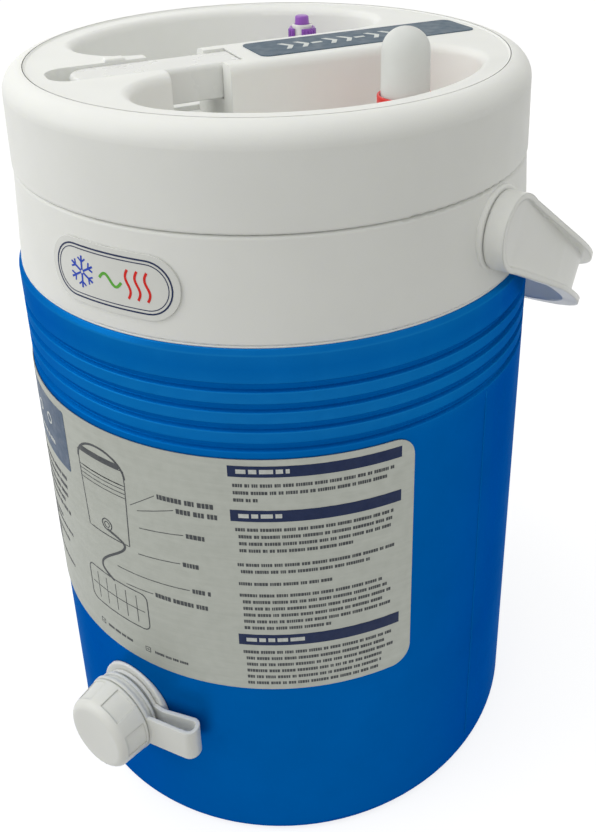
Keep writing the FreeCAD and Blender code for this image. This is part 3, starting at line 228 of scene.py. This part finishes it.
def milky_plastic():
    """Translucent soft plastic of the vent's dome."""
    made = Nodes("dome_plastic")
    cloud = made.noise(90.0, 2.0)
    tint = made.mixed(made.spread(cloud, 0, 1), (0.93, 0.95, 0.93, 1), (0.97, 0.99, 0.97, 1))
    made.link(tint, made.shader.inputs["Base Color"])
    made.link(made.spread(made.noise(120.0), 0.30, 0.40), made.shader.inputs["Roughness"])
    made.bumped([(made.noise(60.0), 0.00003)])
    made.shader.inputs["Transmission Weight"].default_value = 0.35
    made.shader.inputs["Subsurface Weight"].default_value = 0.3
    made.shader.inputs["Subsurface Radius"].default_value = (0.006, 0.006, 0.006)
    made.shader.inputs["Subsurface Scale"].default_value = 0.5
    made.shader.inputs["IOR"].default_value = 1.2
    made.shader.inputs["Specular IOR Level"].default_value = 0.4
    return made.material


def clear_film():
    """Clear domed film of the badge, white behind."""
    made = Nodes("badge_film")
    tint = made.mixed(made.spread(made.noise(90.0), 0, 1), (0.71, 0.72, 0.69, 1), (0.75, 0.76, 0.73, 1))
    made.link(tint, made.shader.inputs["Base Color"])
    made.link(made.spread(made.noise(200.0), 0.18, 0.26), made.shader.inputs["Roughness"])
    made.bumped([(made.noise(60.0), 0.00003)])
    made.shader.inputs["Coat Weight"].default_value = 0.4
    made.shader.inputs["Coat Roughness"].default_value = 0.06
    return made.material


def metal():
    """Drawn steel wire and pin."""
    made = Nodes("drawn_steel")
    streak = made.noise(900.0, 3.0)
    tint = made.mixed(made.spread(streak, 0, 1), shade_of(STEEL, 0.85), shade_of(STEEL, 1.1))
    made.link(tint, made.shader.inputs["Base Color"])
    made.link(made.spread(streak, 0.22, 0.38), made.shader.inputs["Roughness"])
    made.bumped([(made.noise(2500.0), 0.000005)])
    made.shader.inputs["Metallic"].default_value = 1.0
    return made.material


MATERIALS = {
    # The blue body carries a painted highlight on its rib lips
    "body_blue": plastic("blue_polyethylene", BLUE, rough=0.34, grain=900.0, grain_depth=0.00006,
                         wave_depth=0.0002, specular=0.0, metallic=0.35, edge=0.0003, sheen=SHEEN_BLUE,
                         lip_highlight=LIP_HIGHLIGHT_BLUE),
    "shell_white": plastic("white_shell", WHITE, rough=0.46, mottle=0.02, subsurface=0.15, edge=0.0006),
    "handle_white": plastic("white_handle", WHITE, rough=0.36, mottle=0.02, subsurface=0.15, edge=0.0013),
    "lever_white": plastic("white_lever", LEVER_WHITE, rough=0.28, mottle=0.015, grain_depth=0.000008,
                           subsurface=0.15, specular=0.4, edge=0.0009),
    "liner_white": plastic("white_liner", LINER_WHITE, rough=0.30, mottle=0.02),
    "fitting_white": plastic("white_fitting", FITTING_WHITE, rough=0.38, mottle=0.02, subsurface=0.15,
                             edge=0.0007),
    "pin_white": plastic("white_pin", WHITE, rough=0.35, mottle=0.03),
    "label": silver_film(),
    "badge_clear": clear_film(),
    "strip_blue_grey": printed("strip_print", STRIP_BLUE, rough=0.42),
    "vent_red": plastic("red_vent", RED, rough=0.30, mottle=0.05, grain_depth=0.00001),
    "dome_clear": milky_plastic(),
    "valve_purple": plastic("purple_valve", PURPLE, rough=0.30, mottle=0.06, grain_depth=0.00001),
    "silicone": plastic("grey_silicone", SILICONE, rough=0.55, mottle=0.04),
    "steel": metal(),
    "foam": plastic("poured_foam", FOAM, rough=0.85, grain=500.0, grain_depth=0.0004, mottle=0.10),
}
INKS = {
    "ink": printed("grey_ink", INK),
    "navy": printed("navy_ink", NAVY),
    "pale": printed("pale_ink", PALE),
    "leaf": printed("leaf_ink", LEAF_GREEN, rough=0.25),
    "panel": printed("panel_ink", PANEL_BLUE),
    "snow": printed("snow_ink", SNOW_BLUE, rough=0.25),
    "heat": printed("heat_ink", RED, rough=0.25),
}


def dress(piece, slot):
    """Give a piece a slot's material."""
    piece.data.materials.clear()
    piece.data.materials.append(MATERIALS[slot])
    return piece


# ---- Camera, light and floor ----------------------------------------------------------------------
VIEW_AZIMUTH = math.radians(39.0)
LAMP_TARGET = Vector((0, 0, 0.16))
EYE_OUT = 0.3649
EYE_HEIGHT = 0.3820
EYE_YAW = math.radians(3.80)
EYE_DROP = math.radians(23.23)
EYE_ROLL = math.radians(-0.77)
LENS = 41.98
SHIFT = (-0.0455, -0.234)


def add_camera():
    """Camera that looks down on the jug from its right front."""
    ahead = Vector((math.sin(EYE_YAW) * math.cos(EYE_DROP), math.cos(EYE_YAW) * math.cos(EYE_DROP),
                    -math.sin(EYE_DROP)))
    right = Vector((math.cos(EYE_YAW), -math.sin(EYE_YAW), 0))
    up = right.cross(ahead)
    rolled_right = right * math.cos(EYE_ROLL) + up * math.sin(EYE_ROLL)
    rolled_up = up * math.cos(EYE_ROLL) - right * math.sin(EYE_ROLL)
    axes = Matrix((rolled_right, rolled_up, -ahead)).transposed().to_4x4()
    turn = Matrix.Rotation(VIEW_AZIMUTH, 4, "Z")
    data = bpy.data.cameras.new("camera")
    data.lens = LENS
    data.shift_x, data.shift_y = SHIFT
    camera = bpy.data.objects.new("camera", data)
    camera.matrix_world = turn @ Matrix.Translation((0, -EYE_OUT, EYE_HEIGHT)) @ axes
    bpy.context.scene.collection.objects.link(camera)
    bpy.context.scene.camera = camera


def add_lamp(name, azimuth, elevation, distance, size, power):
    """Square area lamp that looks at the jug's middle."""
    turn, rise = math.radians(azimuth), math.radians(elevation)
    ray = Vector((math.sin(turn) * math.cos(rise), -math.cos(turn) * math.cos(rise), math.sin(rise)))
    place = LAMP_TARGET + distance * ray
    data = bpy.data.lights.new(name, "AREA")
    data.size = size
    data.energy = power
    lamp = bpy.data.objects.new(name, data)
    lamp.location = place
    lamp.rotation_euler = (LAMP_TARGET - place).to_track_quat("-Z", "Y").to_euler()
    bpy.context.scene.collection.objects.link(lamp)


def seen_share(tree):
    """1 for rays that see a backdrop straight, in a mirror or through glass, 0 for light on the object."""
    path = tree.nodes.new("ShaderNodeLightPath")
    total = path.outputs["Is Camera Ray"]
    for output in ("Is Glossy Ray", "Is Transmission Ray"):
        either = tree.nodes.new("ShaderNodeMath")
        either.operation = "MAXIMUM"
        tree.links.new(total, either.inputs[0])
        tree.links.new(path.outputs[output], either.inputs[1])
        total = either.outputs[0]
    return total


def add_world(strength):
    """Even pale light from all round, white where it is seen."""
    world = bpy.data.worlds.new("studio")
    bpy.context.scene.world = world
    world.use_nodes = True
    tree = world.node_tree
    background = tree.nodes["Background"]
    background.inputs["Color"].default_value = (1.0, 1.0, 0.965, 1)
    level = tree.nodes.new("ShaderNodeMapRange")
    level.inputs["To Min"].default_value = strength
    level.inputs["To Max"].default_value = 1.0
    tree.links.new(seen_share(tree), level.inputs["Value"])
    tree.links.new(level.outputs["Result"], background.inputs["Strength"])


FLOOR_GLOW = 0.78
FLOOR_SHADED = 0.40


def add_floor():
    """Plain pale floor that keeps the jug's shadow."""
    mesh = bpy.data.meshes.new("floor")
    reach = 6.0
    corners = [(-reach, -reach, 0), (reach, -reach, 0), (reach, reach, 0), (-reach, reach, 0)]
    mesh.from_pydata(corners, [], [(0, 1, 2, 3)])
    floor = bpy.data.objects.new("floor", mesh)
    bpy.context.scene.collection.objects.link(floor)
    made = Nodes("floor_paper")
    tree, shader = made.tree, made.shader
    shader.inputs["Base Color"].default_value = (0.5, 0.5, 0.49, 1)
    shader.inputs["Roughness"].default_value = 0.9
    shader.inputs["Specular IOR Level"].default_value = 0.0
    paper = tree.nodes.new("ShaderNodeBsdfDiffuse")
    paper.inputs["Color"].default_value = (FLOOR_SHADED, FLOOR_SHADED, FLOOR_SHADED, 1)
    glow = tree.nodes.new("ShaderNodeEmission")
    glow.inputs["Strength"].default_value = FLOOR_GLOW
    seen = tree.nodes.new("ShaderNodeAddShader")
    tree.links.new(paper.outputs[0], seen.inputs[0])
    tree.links.new(glow.outputs[0], seen.inputs[1])
    either = tree.nodes.new("ShaderNodeMixShader")
    tree.links.new(seen_share(tree), either.inputs[0])
    tree.links.new(shader.outputs[0], either.inputs[1])
    tree.links.new(seen.outputs[0], either.inputs[2])
    tree.links.new(either.outputs[0], tree.nodes["Material Output"].inputs["Surface"])
    mesh.materials.append(made.material)


# ---- Pieces made from points --------------------------------------------------------------------
def add_piece(name, points, faces, material, smooth=False):
    """New object from points and faces, with one material."""
    mesh = bpy.data.meshes.new(name)
    mesh.from_pydata(points, [], faces)
    mesh.materials.append(material)
    for face in mesh.polygons:
        face.use_smooth = smooth
    piece = bpy.data.objects.new(name, mesh)
    bpy.context.scene.collection.objects.link(piece)
    return piece


# ---- Print that lies on a curved wall ---------------------------------------------------------------
def wall_cone(node):
    """(height, outer radius) of the lowest and the highest edge of a label that wraps the jug."""
    low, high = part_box(node)
    ends = []
    for z in (low.z, high.z):
        radii = [math.hypot(v.co.x, v.co.y) for v in NODES[node].data.vertices if abs(v.co.z - z) < MM]
        ends.append((z, max(radii)))
    return ends


class Print:
    """One mesh of thin closed slabs that lie on a wrapped label."""

    sink = 0.10 * MM
    lift = 0.05 * MM
    arc_step = 1.5
    block_widths = (0.34, 0.74)

    def __init__(self, node):
        self.node = node
        self.low, self.high = wall_cone(node)
        self.points = []
        self.faces = []

    def at(self, angle, z, lift):
        """Point on the label at an angle (degrees) and a height (mm), lifted off its face."""
        share = (z * MM - self.low[0]) / (self.high[0] - self.low[0])
        radius = self.low[1] + (self.high[1] - self.low[1]) * share + lift
        turn = math.radians(angle)
        return (radius * math.sin(turn), -radius * math.cos(turn), z * MM)

    def strip(self, pairs, closed=False):
        """Slab through pairs of points ((angle, z), (angle, z)), one pair for each side of it."""
        base = len(self.points)
        for one, other in pairs:
            for lift in (-self.sink, self.lift):
                self.points.append(self.at(*one, lift))
                self.points.append(self.at(*other, lift))
        count = len(pairs)
        for i in range(count if closed else count - 1):
            a, b = base + 4 * i, base + 4 * ((i + 1) % count)
            self.faces += [(a, b, b + 1, a + 1), (a + 2, a + 3, b + 3, b + 2),
                           (a, a + 2, b + 2, b), (a + 1, b + 1, b + 3, a + 3)]
        if not closed:
            last = base + 4 * (count - 1)
            self.faces += [(base, base + 1, base + 3, base + 2), (last, last + 2, last + 3, last + 1)]

    def degrees(self, length):
        """Angle round the wall of a length in mm."""
        return math.degrees(length * MM / self.low[1])

    def bar(self, start, end, z, height, slant=0.0):
        """Level bar between two angles, centred on a height; slant lowers its far end."""
        steps = max(1, round((end - start) / self.arc_step))
        pairs = []
        for i in range(steps + 1):
            angle = start + (end - start) * i / steps
            middle = z - slant * i / steps
            pairs.append(((angle, middle - height / 2), (angle, middle + height / 2)))
        self.strip(pairs)

    def panel(self, start, end, low, high, round_mm):
        """Rounded rectangle."""
        pairs = []
        corner = self.degrees(round_mm)
        turns = [math.pi / 2 * i / 5 for i in range(6)]
        columns = [(start + corner * (1 - math.cos(t)), round_mm * (1 - math.sin(t))) for t in turns]
        steps = max(1, round((end - start - 2 * corner) / self.arc_step))
        for i in range(1, steps):
            columns.append((start + corner + (end - start - 2 * corner) * i / steps, 0.0))
        columns += [(end - corner * (1 - math.cos(t)), round_mm * (1 - math.sin(t))) for t in reversed(turns)]
        for angle, cut in columns:
            pairs.append(((angle, low + cut), (angle, high - cut)))
        self.strip(pairs)

    def stroke(self, path, width, closed=False):
        """Line of a width along points (angle, z), mitred at its corners and cut to follow the wall."""
        per_mm = self.degrees(1.0)
        ends = path + path[:1] if closed else path
        flat = []
        for (angle, z), (next_angle, next_z) in zip(ends, ends[1:]):
            cuts = max(1, math.ceil(abs(next_angle - angle) / self.arc_step))
            for i in range(cuts):
                share = i / cuts
                flat.append(Vector(((angle + (next_angle - angle) * share) / per_mm,
                                    z + (next_z - z) * share)))
        if not closed:
            flat.append(Vector((path[-1][0] / per_mm, path[-1][1])))
        count = len(flat)
        pairs = []
        for i, here in enumerate(flat):
            back = flat[i - 1] if closed or i > 0 else here
            ahead = flat[(i + 1) % count] if closed or i < count - 1 else here
            along = (ahead - back).normalized()
            side = Vector((-along.y, along.x)) * width / 2
            pairs.append((((here.x + side.x) * per_mm, here.y + side.y),
                          ((here.x - side.x) * per_mm, here.y - side.y)))
        self.strip(pairs, closed)

    def ring(self, angle, z, radius, width, squash=1.0, steps=28):
        """Closed round line."""
        turn = [2 * math.pi * i / steps for i in range(steps)]
        self.stroke([(angle + self.degrees(radius * math.cos(t)), z + squash * radius * math.sin(t))
                     for t in turn], width, closed=True)

    def words(self, start, end, z, height=1.3):
        """Row of greeked words: groups of plain upright blocks of one height."""
        angle = start
        gap = self.degrees(0.15 * height)
        while angle < end:
            for _ in range(random.choice((2, 3, 3, 4, 5, 5, 6, 7, 8))):
                width = self.degrees(random.uniform(*self.block_widths) * height)
                if angle + width > end:
                    return
                self.bar(angle, angle + width, z, height)
                angle += width + gap
            angle += self.degrees(0.45 * height)

    def made(self, name, ink, body):
        """The finished piece."""
        piece = add_piece(name, self.points, self.faces, INKS[ink])
        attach(piece, body)
        return piece


def stadium(print_on, angle, z, half_long, half_high):
    """Outline with straight long sides and round ends, half sizes in mm."""
    reach = half_long - half_high
    outline = []
    for side, first in ((1, -90), (-1, 90)):
        for i in range(19):
            t = math.radians(first + 10 * i)
            outline.append((angle + print_on.degrees(side * reach + half_high * math.cos(t)),
                            z + half_high * math.sin(t)))
    return outline


BADGE_ANGLE = 6.0


def print_badge():
    """Double outline of the badge, and a generic snowflake, wave and heat waves."""
    low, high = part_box("badge")
    angle, z = BADGE_ANGLE, (low.z + high.z) / 2 / MM
    lines = Print("badge")
    lines.stroke(stadium(lines, angle, z, 24.0, 9.1), 0.55, closed=True)
    lines.stroke(stadium(lines, angle, z, 22.8, 7.9), 0.30, closed=True)
    lines.made("badge_outline", "navy", "vessel")
    snow = Print("badge")
    centre = angle - snow.degrees(11.5)
    for arm in range(6):
        t = math.radians(60 * arm + 90)
        reach = (snow.degrees(math.cos(t)), math.sin(t))
        tip = (centre + 5.6 * reach[0], z + 5.6 * reach[1])
        snow.stroke([(centre + 0.6 * reach[0], z + 0.6 * reach[1]), tip], 0.75)
        fork = (centre + 3.4 * reach[0], z + 3.4 * reach[1])
        for side in (-1, 1):
            s = t + side * math.radians(52)
            snow.stroke([fork, (fork[0] + snow.degrees(2.1 * math.cos(s)), fork[1] + 2.1 * math.sin(s))], 0.6)
    snow.made("badge_snow", "snow", "vessel")
    heat = Print("badge")
    for i in range(3):
        start = angle + heat.degrees(8.0 + 3.6 * i)
        heat.stroke([(start + heat.degrees(0.9 * math.sin(2 * math.pi * k / 16)), z - 5.0 + 10.0 * k / 16)
                     for k in range(17)], 0.9)
    heat.made("badge_heat", "heat", "vessel")
    leaf = Print("badge")
    leaf.stroke([(angle + leaf.degrees(-3.6 + 9.0 * k / 16), z + 1.9 * math.sin(2 * math.pi * k / 16))
                 for k in range(17)], 1.0)
    leaf.made("badge_wave", "leaf", "vessel")


BRIDGE_TURN = math.radians(62.0)


def flat_piece(name, shapes, ink, node):
    """Thin print on a flat lid node; shapes are outlines (u, v) in mm along and across the bridge."""
    low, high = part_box(node)
    turn = Matrix.Rotation(BRIDGE_TURN, 4, "Z")
    points, faces = [], []
    for shape in shapes:
        base, count = len(points), len(shape)
        for z in (high.z - 0.1 * MM, high.z + 0.05 * MM):
            points += [turn @ Vector((u * MM, v * MM, z)) for u, v in shape]
        faces.append(tuple(base + i for i in reversed(range(count))))
        faces.append(tuple(base + count + i for i in range(count)))
        for i in range(count):
            j = (i + 1) % count
            faces.append((base + i, base + j, base + count + j, base + count + i))
    piece = add_piece(name, points, faces, INKS[ink])
    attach(piece, "lid")


def print_strip():
    """Row of pale chevrons and bars along the bridge's strip."""
    shapes = []
    along = 5.0
    for i in range(7):
        shapes.append([(along, -4.6), (along + 2.2, -4.6), (along + 5.0, 0), (along + 2.2, 4.6), (along, 4.6),
                       (along + 2.8, 0)])
        if i % 2:
            shapes.append([(along + 6.0, -1.0), (along + 10.4, -1.0), (along + 10.4, 1.0),
                           (along + 6.0, 1.0)])
        along += 12.2 if i % 2 else 6.6
    flat_piece("strip_marks", shapes, "pale", "lid_strip")


def add_parting_line(name, angle):
    """Low ridge where the two halves of the body's mould met, over the plain wall below the ribs."""
    first_z, pitch, steps = 5.0 * MM, 3.0 * MM, 60
    sink, rise, root, crest = 0.3 * MM, 0.35 * MM, 0.55 * MM, 0.12 * MM
    body = NODES["outer_body"]
    turn = math.radians(angle)
    out = Vector((math.sin(turn), -math.cos(turn), 0))
    side = Vector((math.cos(turn), math.sin(turn), 0))
    points, faces = [], []
    for i in range(steps + 1):
        up = Vector((0, 0, first_z + pitch * i))
        hit, place, _, _ = body.ray_cast(out * 0.2 + up, -out)
        wall = place.xy.length if hit else 0.1
        low, high = wall - sink, wall + rise * min(1.0, i / 2, (steps - i) / 2)
        points += [out * low - side * root + up, out * high - side * crest + up,
                   out * high + side * crest + up, out * low + side * root + up]
        if i:
            base = 4 * (i - 1)
            for k in range(4):
                n = (k + 1) % 4
                faces.append((base + k, base + n, base + 4 + n, base + 4 + k))
    last = 4 * steps
    faces += [(3, 2, 1, 0), (last, last + 1, last + 2, last + 3)]
    piece = add_piece(name, points, faces, MATERIALS["body_blue"], smooth=True)
    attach(piece, "vessel")


def add_foot_bead():
    """Soft white bead that closes the seam under the collar's foot."""
    low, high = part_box("collar")
    radii = [v.co.xy.length for v in NODES["collar"].data.vertices if v.co.z < low.z + 0.05 * MM]
    middle, height, thick = max(radii) + 0.1 * MM, low.z - 0.1 * MM, 0.45 * MM
    around, section = 240, 10
    points, faces = [], []
    for i in range(around):
        turn = 2 * math.pi * i / around
        for k in range(section):
            t = 2 * math.pi * k / section
            radius = middle + thick * math.cos(t)
            points.append((radius * math.sin(turn), -radius * math.cos(turn), height + thick * math.sin(t)))
            i2, k2 = (i + 1) % around, (k + 1) % section
            faces.append((i * section + k, i2 * section + k, i2 * section + k2, i * section + k2))
    piece = add_piece("collar_bead", points, faces, MATERIALS["shell_white"], smooth=True)
    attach(piece, "vessel")


SLOT_OF_NODE = {
    "outer_body": "body_blue", "fill_plug": "body_blue",
    "collar": "shell_white", "lid_shell": "shell_white",
    "bail_handle": "handle_white", "flip_lever": "lever_white",
    "inner_liner": "liner_white", "lid_pan": "liner_white",
    "drain_spigot": "fitting_white", "drain_nut": "fitting_white", "drain_cap": "fitting_white",
    "cap_tether": "fitting_white", "valve_body": "fitting_white", "valve_nut": "fitting_white",
    "vent_nut": "fitting_white", "vent_poppet": "fitting_white",
    "pivot_pin_left": "pin_white", "pivot_pin_right": "pin_white",
    "front_label": "label", "badge": "badge_clear", "lid_strip": "strip_blue_grey",
    "vent_base": "vent_red", "vent_dome": "dome_clear",
    "valve_collar": "valve_purple", "valve_button": "valve_purple",
    "lid_gasket": "silicone", "lever_plug": "silicone", "vent_seal": "silicone", "valve_seal": "silicone",
    "drain_gasket": "silicone", "drain_cap_seal": "silicone",
    "lever_pin": "steel", "valve_spring": "steel",
    "foam_insulation": "foam", "lid_foam": "foam",
}


# Right column of the label: (top line's height, lines, share of the last line, indent in mm)
TEXT_LEFT = 28.6
TEXT_RIGHT = 61.0
LINE_PITCH = 3.05
HEADINGS = ((179.3, 4.5, 11.0), (160.8, 4.8, 9.6), (104.5, 5.0, 12.8))
PARAGRAPHS = ((173.5, 3, 0.16, 0.0), (154.8, 4, 0.80, 1.0), (139.3, 2, 0.90, 1.0), (130.7, 1, 0.62, 0.0),
              (125.4, 6, 0.60, 1.0), (98.4, 6, 0.92, 1.0))


def print_instructions():
    """Headings and paragraphs on the right of the label."""
    bars = Print("front_label")
    marks = Print("front_label")
    marks.lift = 2 * Print.lift
    for z, height, title in HEADINGS:
        bars.bar(TEXT_LEFT - 0.8, TEXT_RIGHT + 1.0, z, height, slant=0.4)
        letters = TEXT_LEFT + 0.8
        while letters < TEXT_LEFT + title:
            stop = letters + random.uniform(1.2, 3.4)
            marks.bar(letters, min(stop, TEXT_LEFT + title), z, 1.7)
            letters = stop + 0.5
    bars.made("label_headings", "navy", "vessel")
    marks.made("label_heading_marks", "pale", "vessel")
    text = Print("front_label")
    for top, lines, last, indent in PARAGRAPHS:
        for line in range(lines):
            start = TEXT_LEFT + (text.degrees(indent) if line else 0)
            full = TEXT_RIGHT - TEXT_LEFT - random.uniform(0, 3)
            share = last if line == lines - 1 else 1.0
            text.words(start, TEXT_LEFT + full * share, top - line * LINE_PITCH)
    text.made("label_text", "ink", "vessel")


# Pointer lines of the label's middle column: (start, end, length of the name, height of its blocks)
POINTERS = (((5.7, 155.6), (12.0, 163.4), 12.8, 2.0), ((7.4, 154.2), (16.0, 159.1), 8.9, 2.0),
            ((7.4, 146.5), (17.7, 148.9), 4.2, 1.9), ((6.3, 133.9), (16.4, 135.6), 3.6, 1.9),
            ((-0.3, 122.8), (18.0, 124.0), 4.2, 1.9), ((1.8, 116.1), (9.0, 117.0), 12.8, 1.9))


def print_jug(art, angle, foot, wide, tall):
    """Line picture of a plain jug with its lid, ribs, bail and spout."""
    half, neck = art.degrees(wide / 2), art.degrees(wide / 2 - 1.2)
    top = foot + tall * 0.72
    art.stroke([(angle - neck, foot), (angle + neck, foot), (angle + half, top), (angle - half, top)],
               0.4, closed=True)
    for share in (0.80, 0.87, 0.94):
        z = foot + (top - foot) * share
        art.stroke([(angle - half + art.degrees(0.3), z), (angle + half - art.degrees(0.3), z)], 0.25)
    rim = top + tall * 0.17
    art.stroke([(angle - half, top), (angle + half, top), (angle + half, rim), (angle - half, rim)],
               0.4, closed=True)
    art.panel(angle - half * 0.86, angle + half * 0.86, rim, rim + tall * 0.06, 0.9)
    bow = []
    for i in range(25):
        t = math.pi * i / 24
        bow.append((angle - half * 1.02 * math.cos(t), top + tall * 0.08 + tall * 0.24 * math.sin(t)))
    art.stroke(bow, 0.9)
    art.ring(angle, foot + 5.2, 2.5, 0.45, steps=22)
    art.ring(angle, foot + 5.2, 1.3, 0.35, steps=16)


def print_pad(art, angle, low, wide, tall):
    """Line picture of a quilted pad with rounded corners."""
    half = art.degrees(wide / 2)
    outline = []
    for side_x, side_z, first in ((1, 1, 0), (-1, 1, 90), (-1, -1, 180), (1, -1, 270)):
        for i in range(5):
            t = math.radians(first + 22.5 * i)
            outline.append((angle + side_x * (half - art.degrees(3)) + art.degrees(3 * math.cos(t)),
                            low + tall / 2 + side_z * (tall / 2 - 3) + 3 * math.sin(t)))
    art.stroke(outline, 0.4, closed=True)
    for i in range(1, 6):
        place = angle - half + 2 * half * i / 6
        art.stroke([(place, low + 2.4), (place, low + tall - 2.4)], 0.25)
    art.stroke([(angle - half * 0.9, low + tall / 2), (angle + half * 0.9, low + tall / 2)], 0.25)


def print_middle():
    """Generic picture of a jug, a hose and a pad, with pointer lines and greeked names."""
    art = Print("front_label")
    middle = -2.0
    print_jug(art, middle, 135.5, 24.0, 38.0)
    hose = []
    for i in range(31):
        t = i / 30
        hose.append((middle + art.degrees(9.5 * math.sin(2 * math.pi * t) * (1 - 0.5 * t)),
                     138.5 - 24.5 * t + 1.6 * math.sin(2 * math.pi * t)))
    art.stroke(hose, 1.0)
    print_pad(art, middle, 97.0, 32.0, 17.5)
    for start, end, length, height in POINTERS:
        art.stroke([start, end], 0.25)
        art.words(end[0] + 0.6, end[0] + 0.6 + length, end[1], height)
    for angle in (-9.0, 5.2):
        side = art.degrees(2.2)
        art.stroke([(angle, 85.9), (angle + side, 85.9), (angle + side, 88.1), (angle, 88.1)],
                   0.3, closed=True)
        art.bar(angle + side * 0.3, angle + side * 0.7, 87.0, 0.4)
        art.words(angle + side + 1.2, angle + side + 9.6, 87.0, 1.1)
    art.made("label_picture", "ink", "vessel")


def print_left():
    """Blue-grey panel with pale bars and the lines of text below it."""
    panel = Print("front_label")
    panel.panel(-62.0, -13.5, 153.5, 180.2, 1.0)
    panel.made("label_panel", "panel", "vessel")
    marks = Print("front_label")
    marks.lift = 2 * Print.lift
    for i in range(6):
        marks.ring(-54.0 + 6.4 * i, 170.0, 2.1, 0.8, steps=20)
    marks.words(-56.0, -20.0, 160.0, 1.8)
    marks.made("label_panel_marks", "pale", "vessel")
    text = Print("front_label")
    for line in range(5):
        text.words(-58.0, -16.0 - random.uniform(0, 6), 147.0 - 4.4 * line, 1.7)
    for line in range(8):
        text.words(-58.0, -17.0 - random.uniform(0, 14), 121.0 - LINE_PITCH * line)
    text.made("label_small_text", "ink", "vessel")


# ---- Build --------------------------------------------------------------------------------------
def dress_nodes():
    """Material of every CAD node."""
    for node, slot in SLOT_OF_NODE.items():
        dress(NODES[node], slot)


def squash_spring():
    """The valve's spring gets its own copy of its mesh."""
    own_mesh(NODES["valve_spring"])


dress_nodes()
squash_spring()
print_instructions()
print_middle()
print_left()
print_badge()
print_strip()
add_parting_line("parting_right", 86.0)
add_parting_line("parting_left", -94.0)
add_foot_bead()

add_camera()
add_world(0.60)
add_lamp("key", -40.0, 28.0, 1.0, 0.7, 2.4)
add_lamp("left", -85.0, 52.0, 0.62, 0.45, 0.35)
add_lamp("top", -20.0, 72.0, 1.6, 1.2, 4.2)
add_floor()
bpy.context.scene.view_settings.view_transform = "Standard"
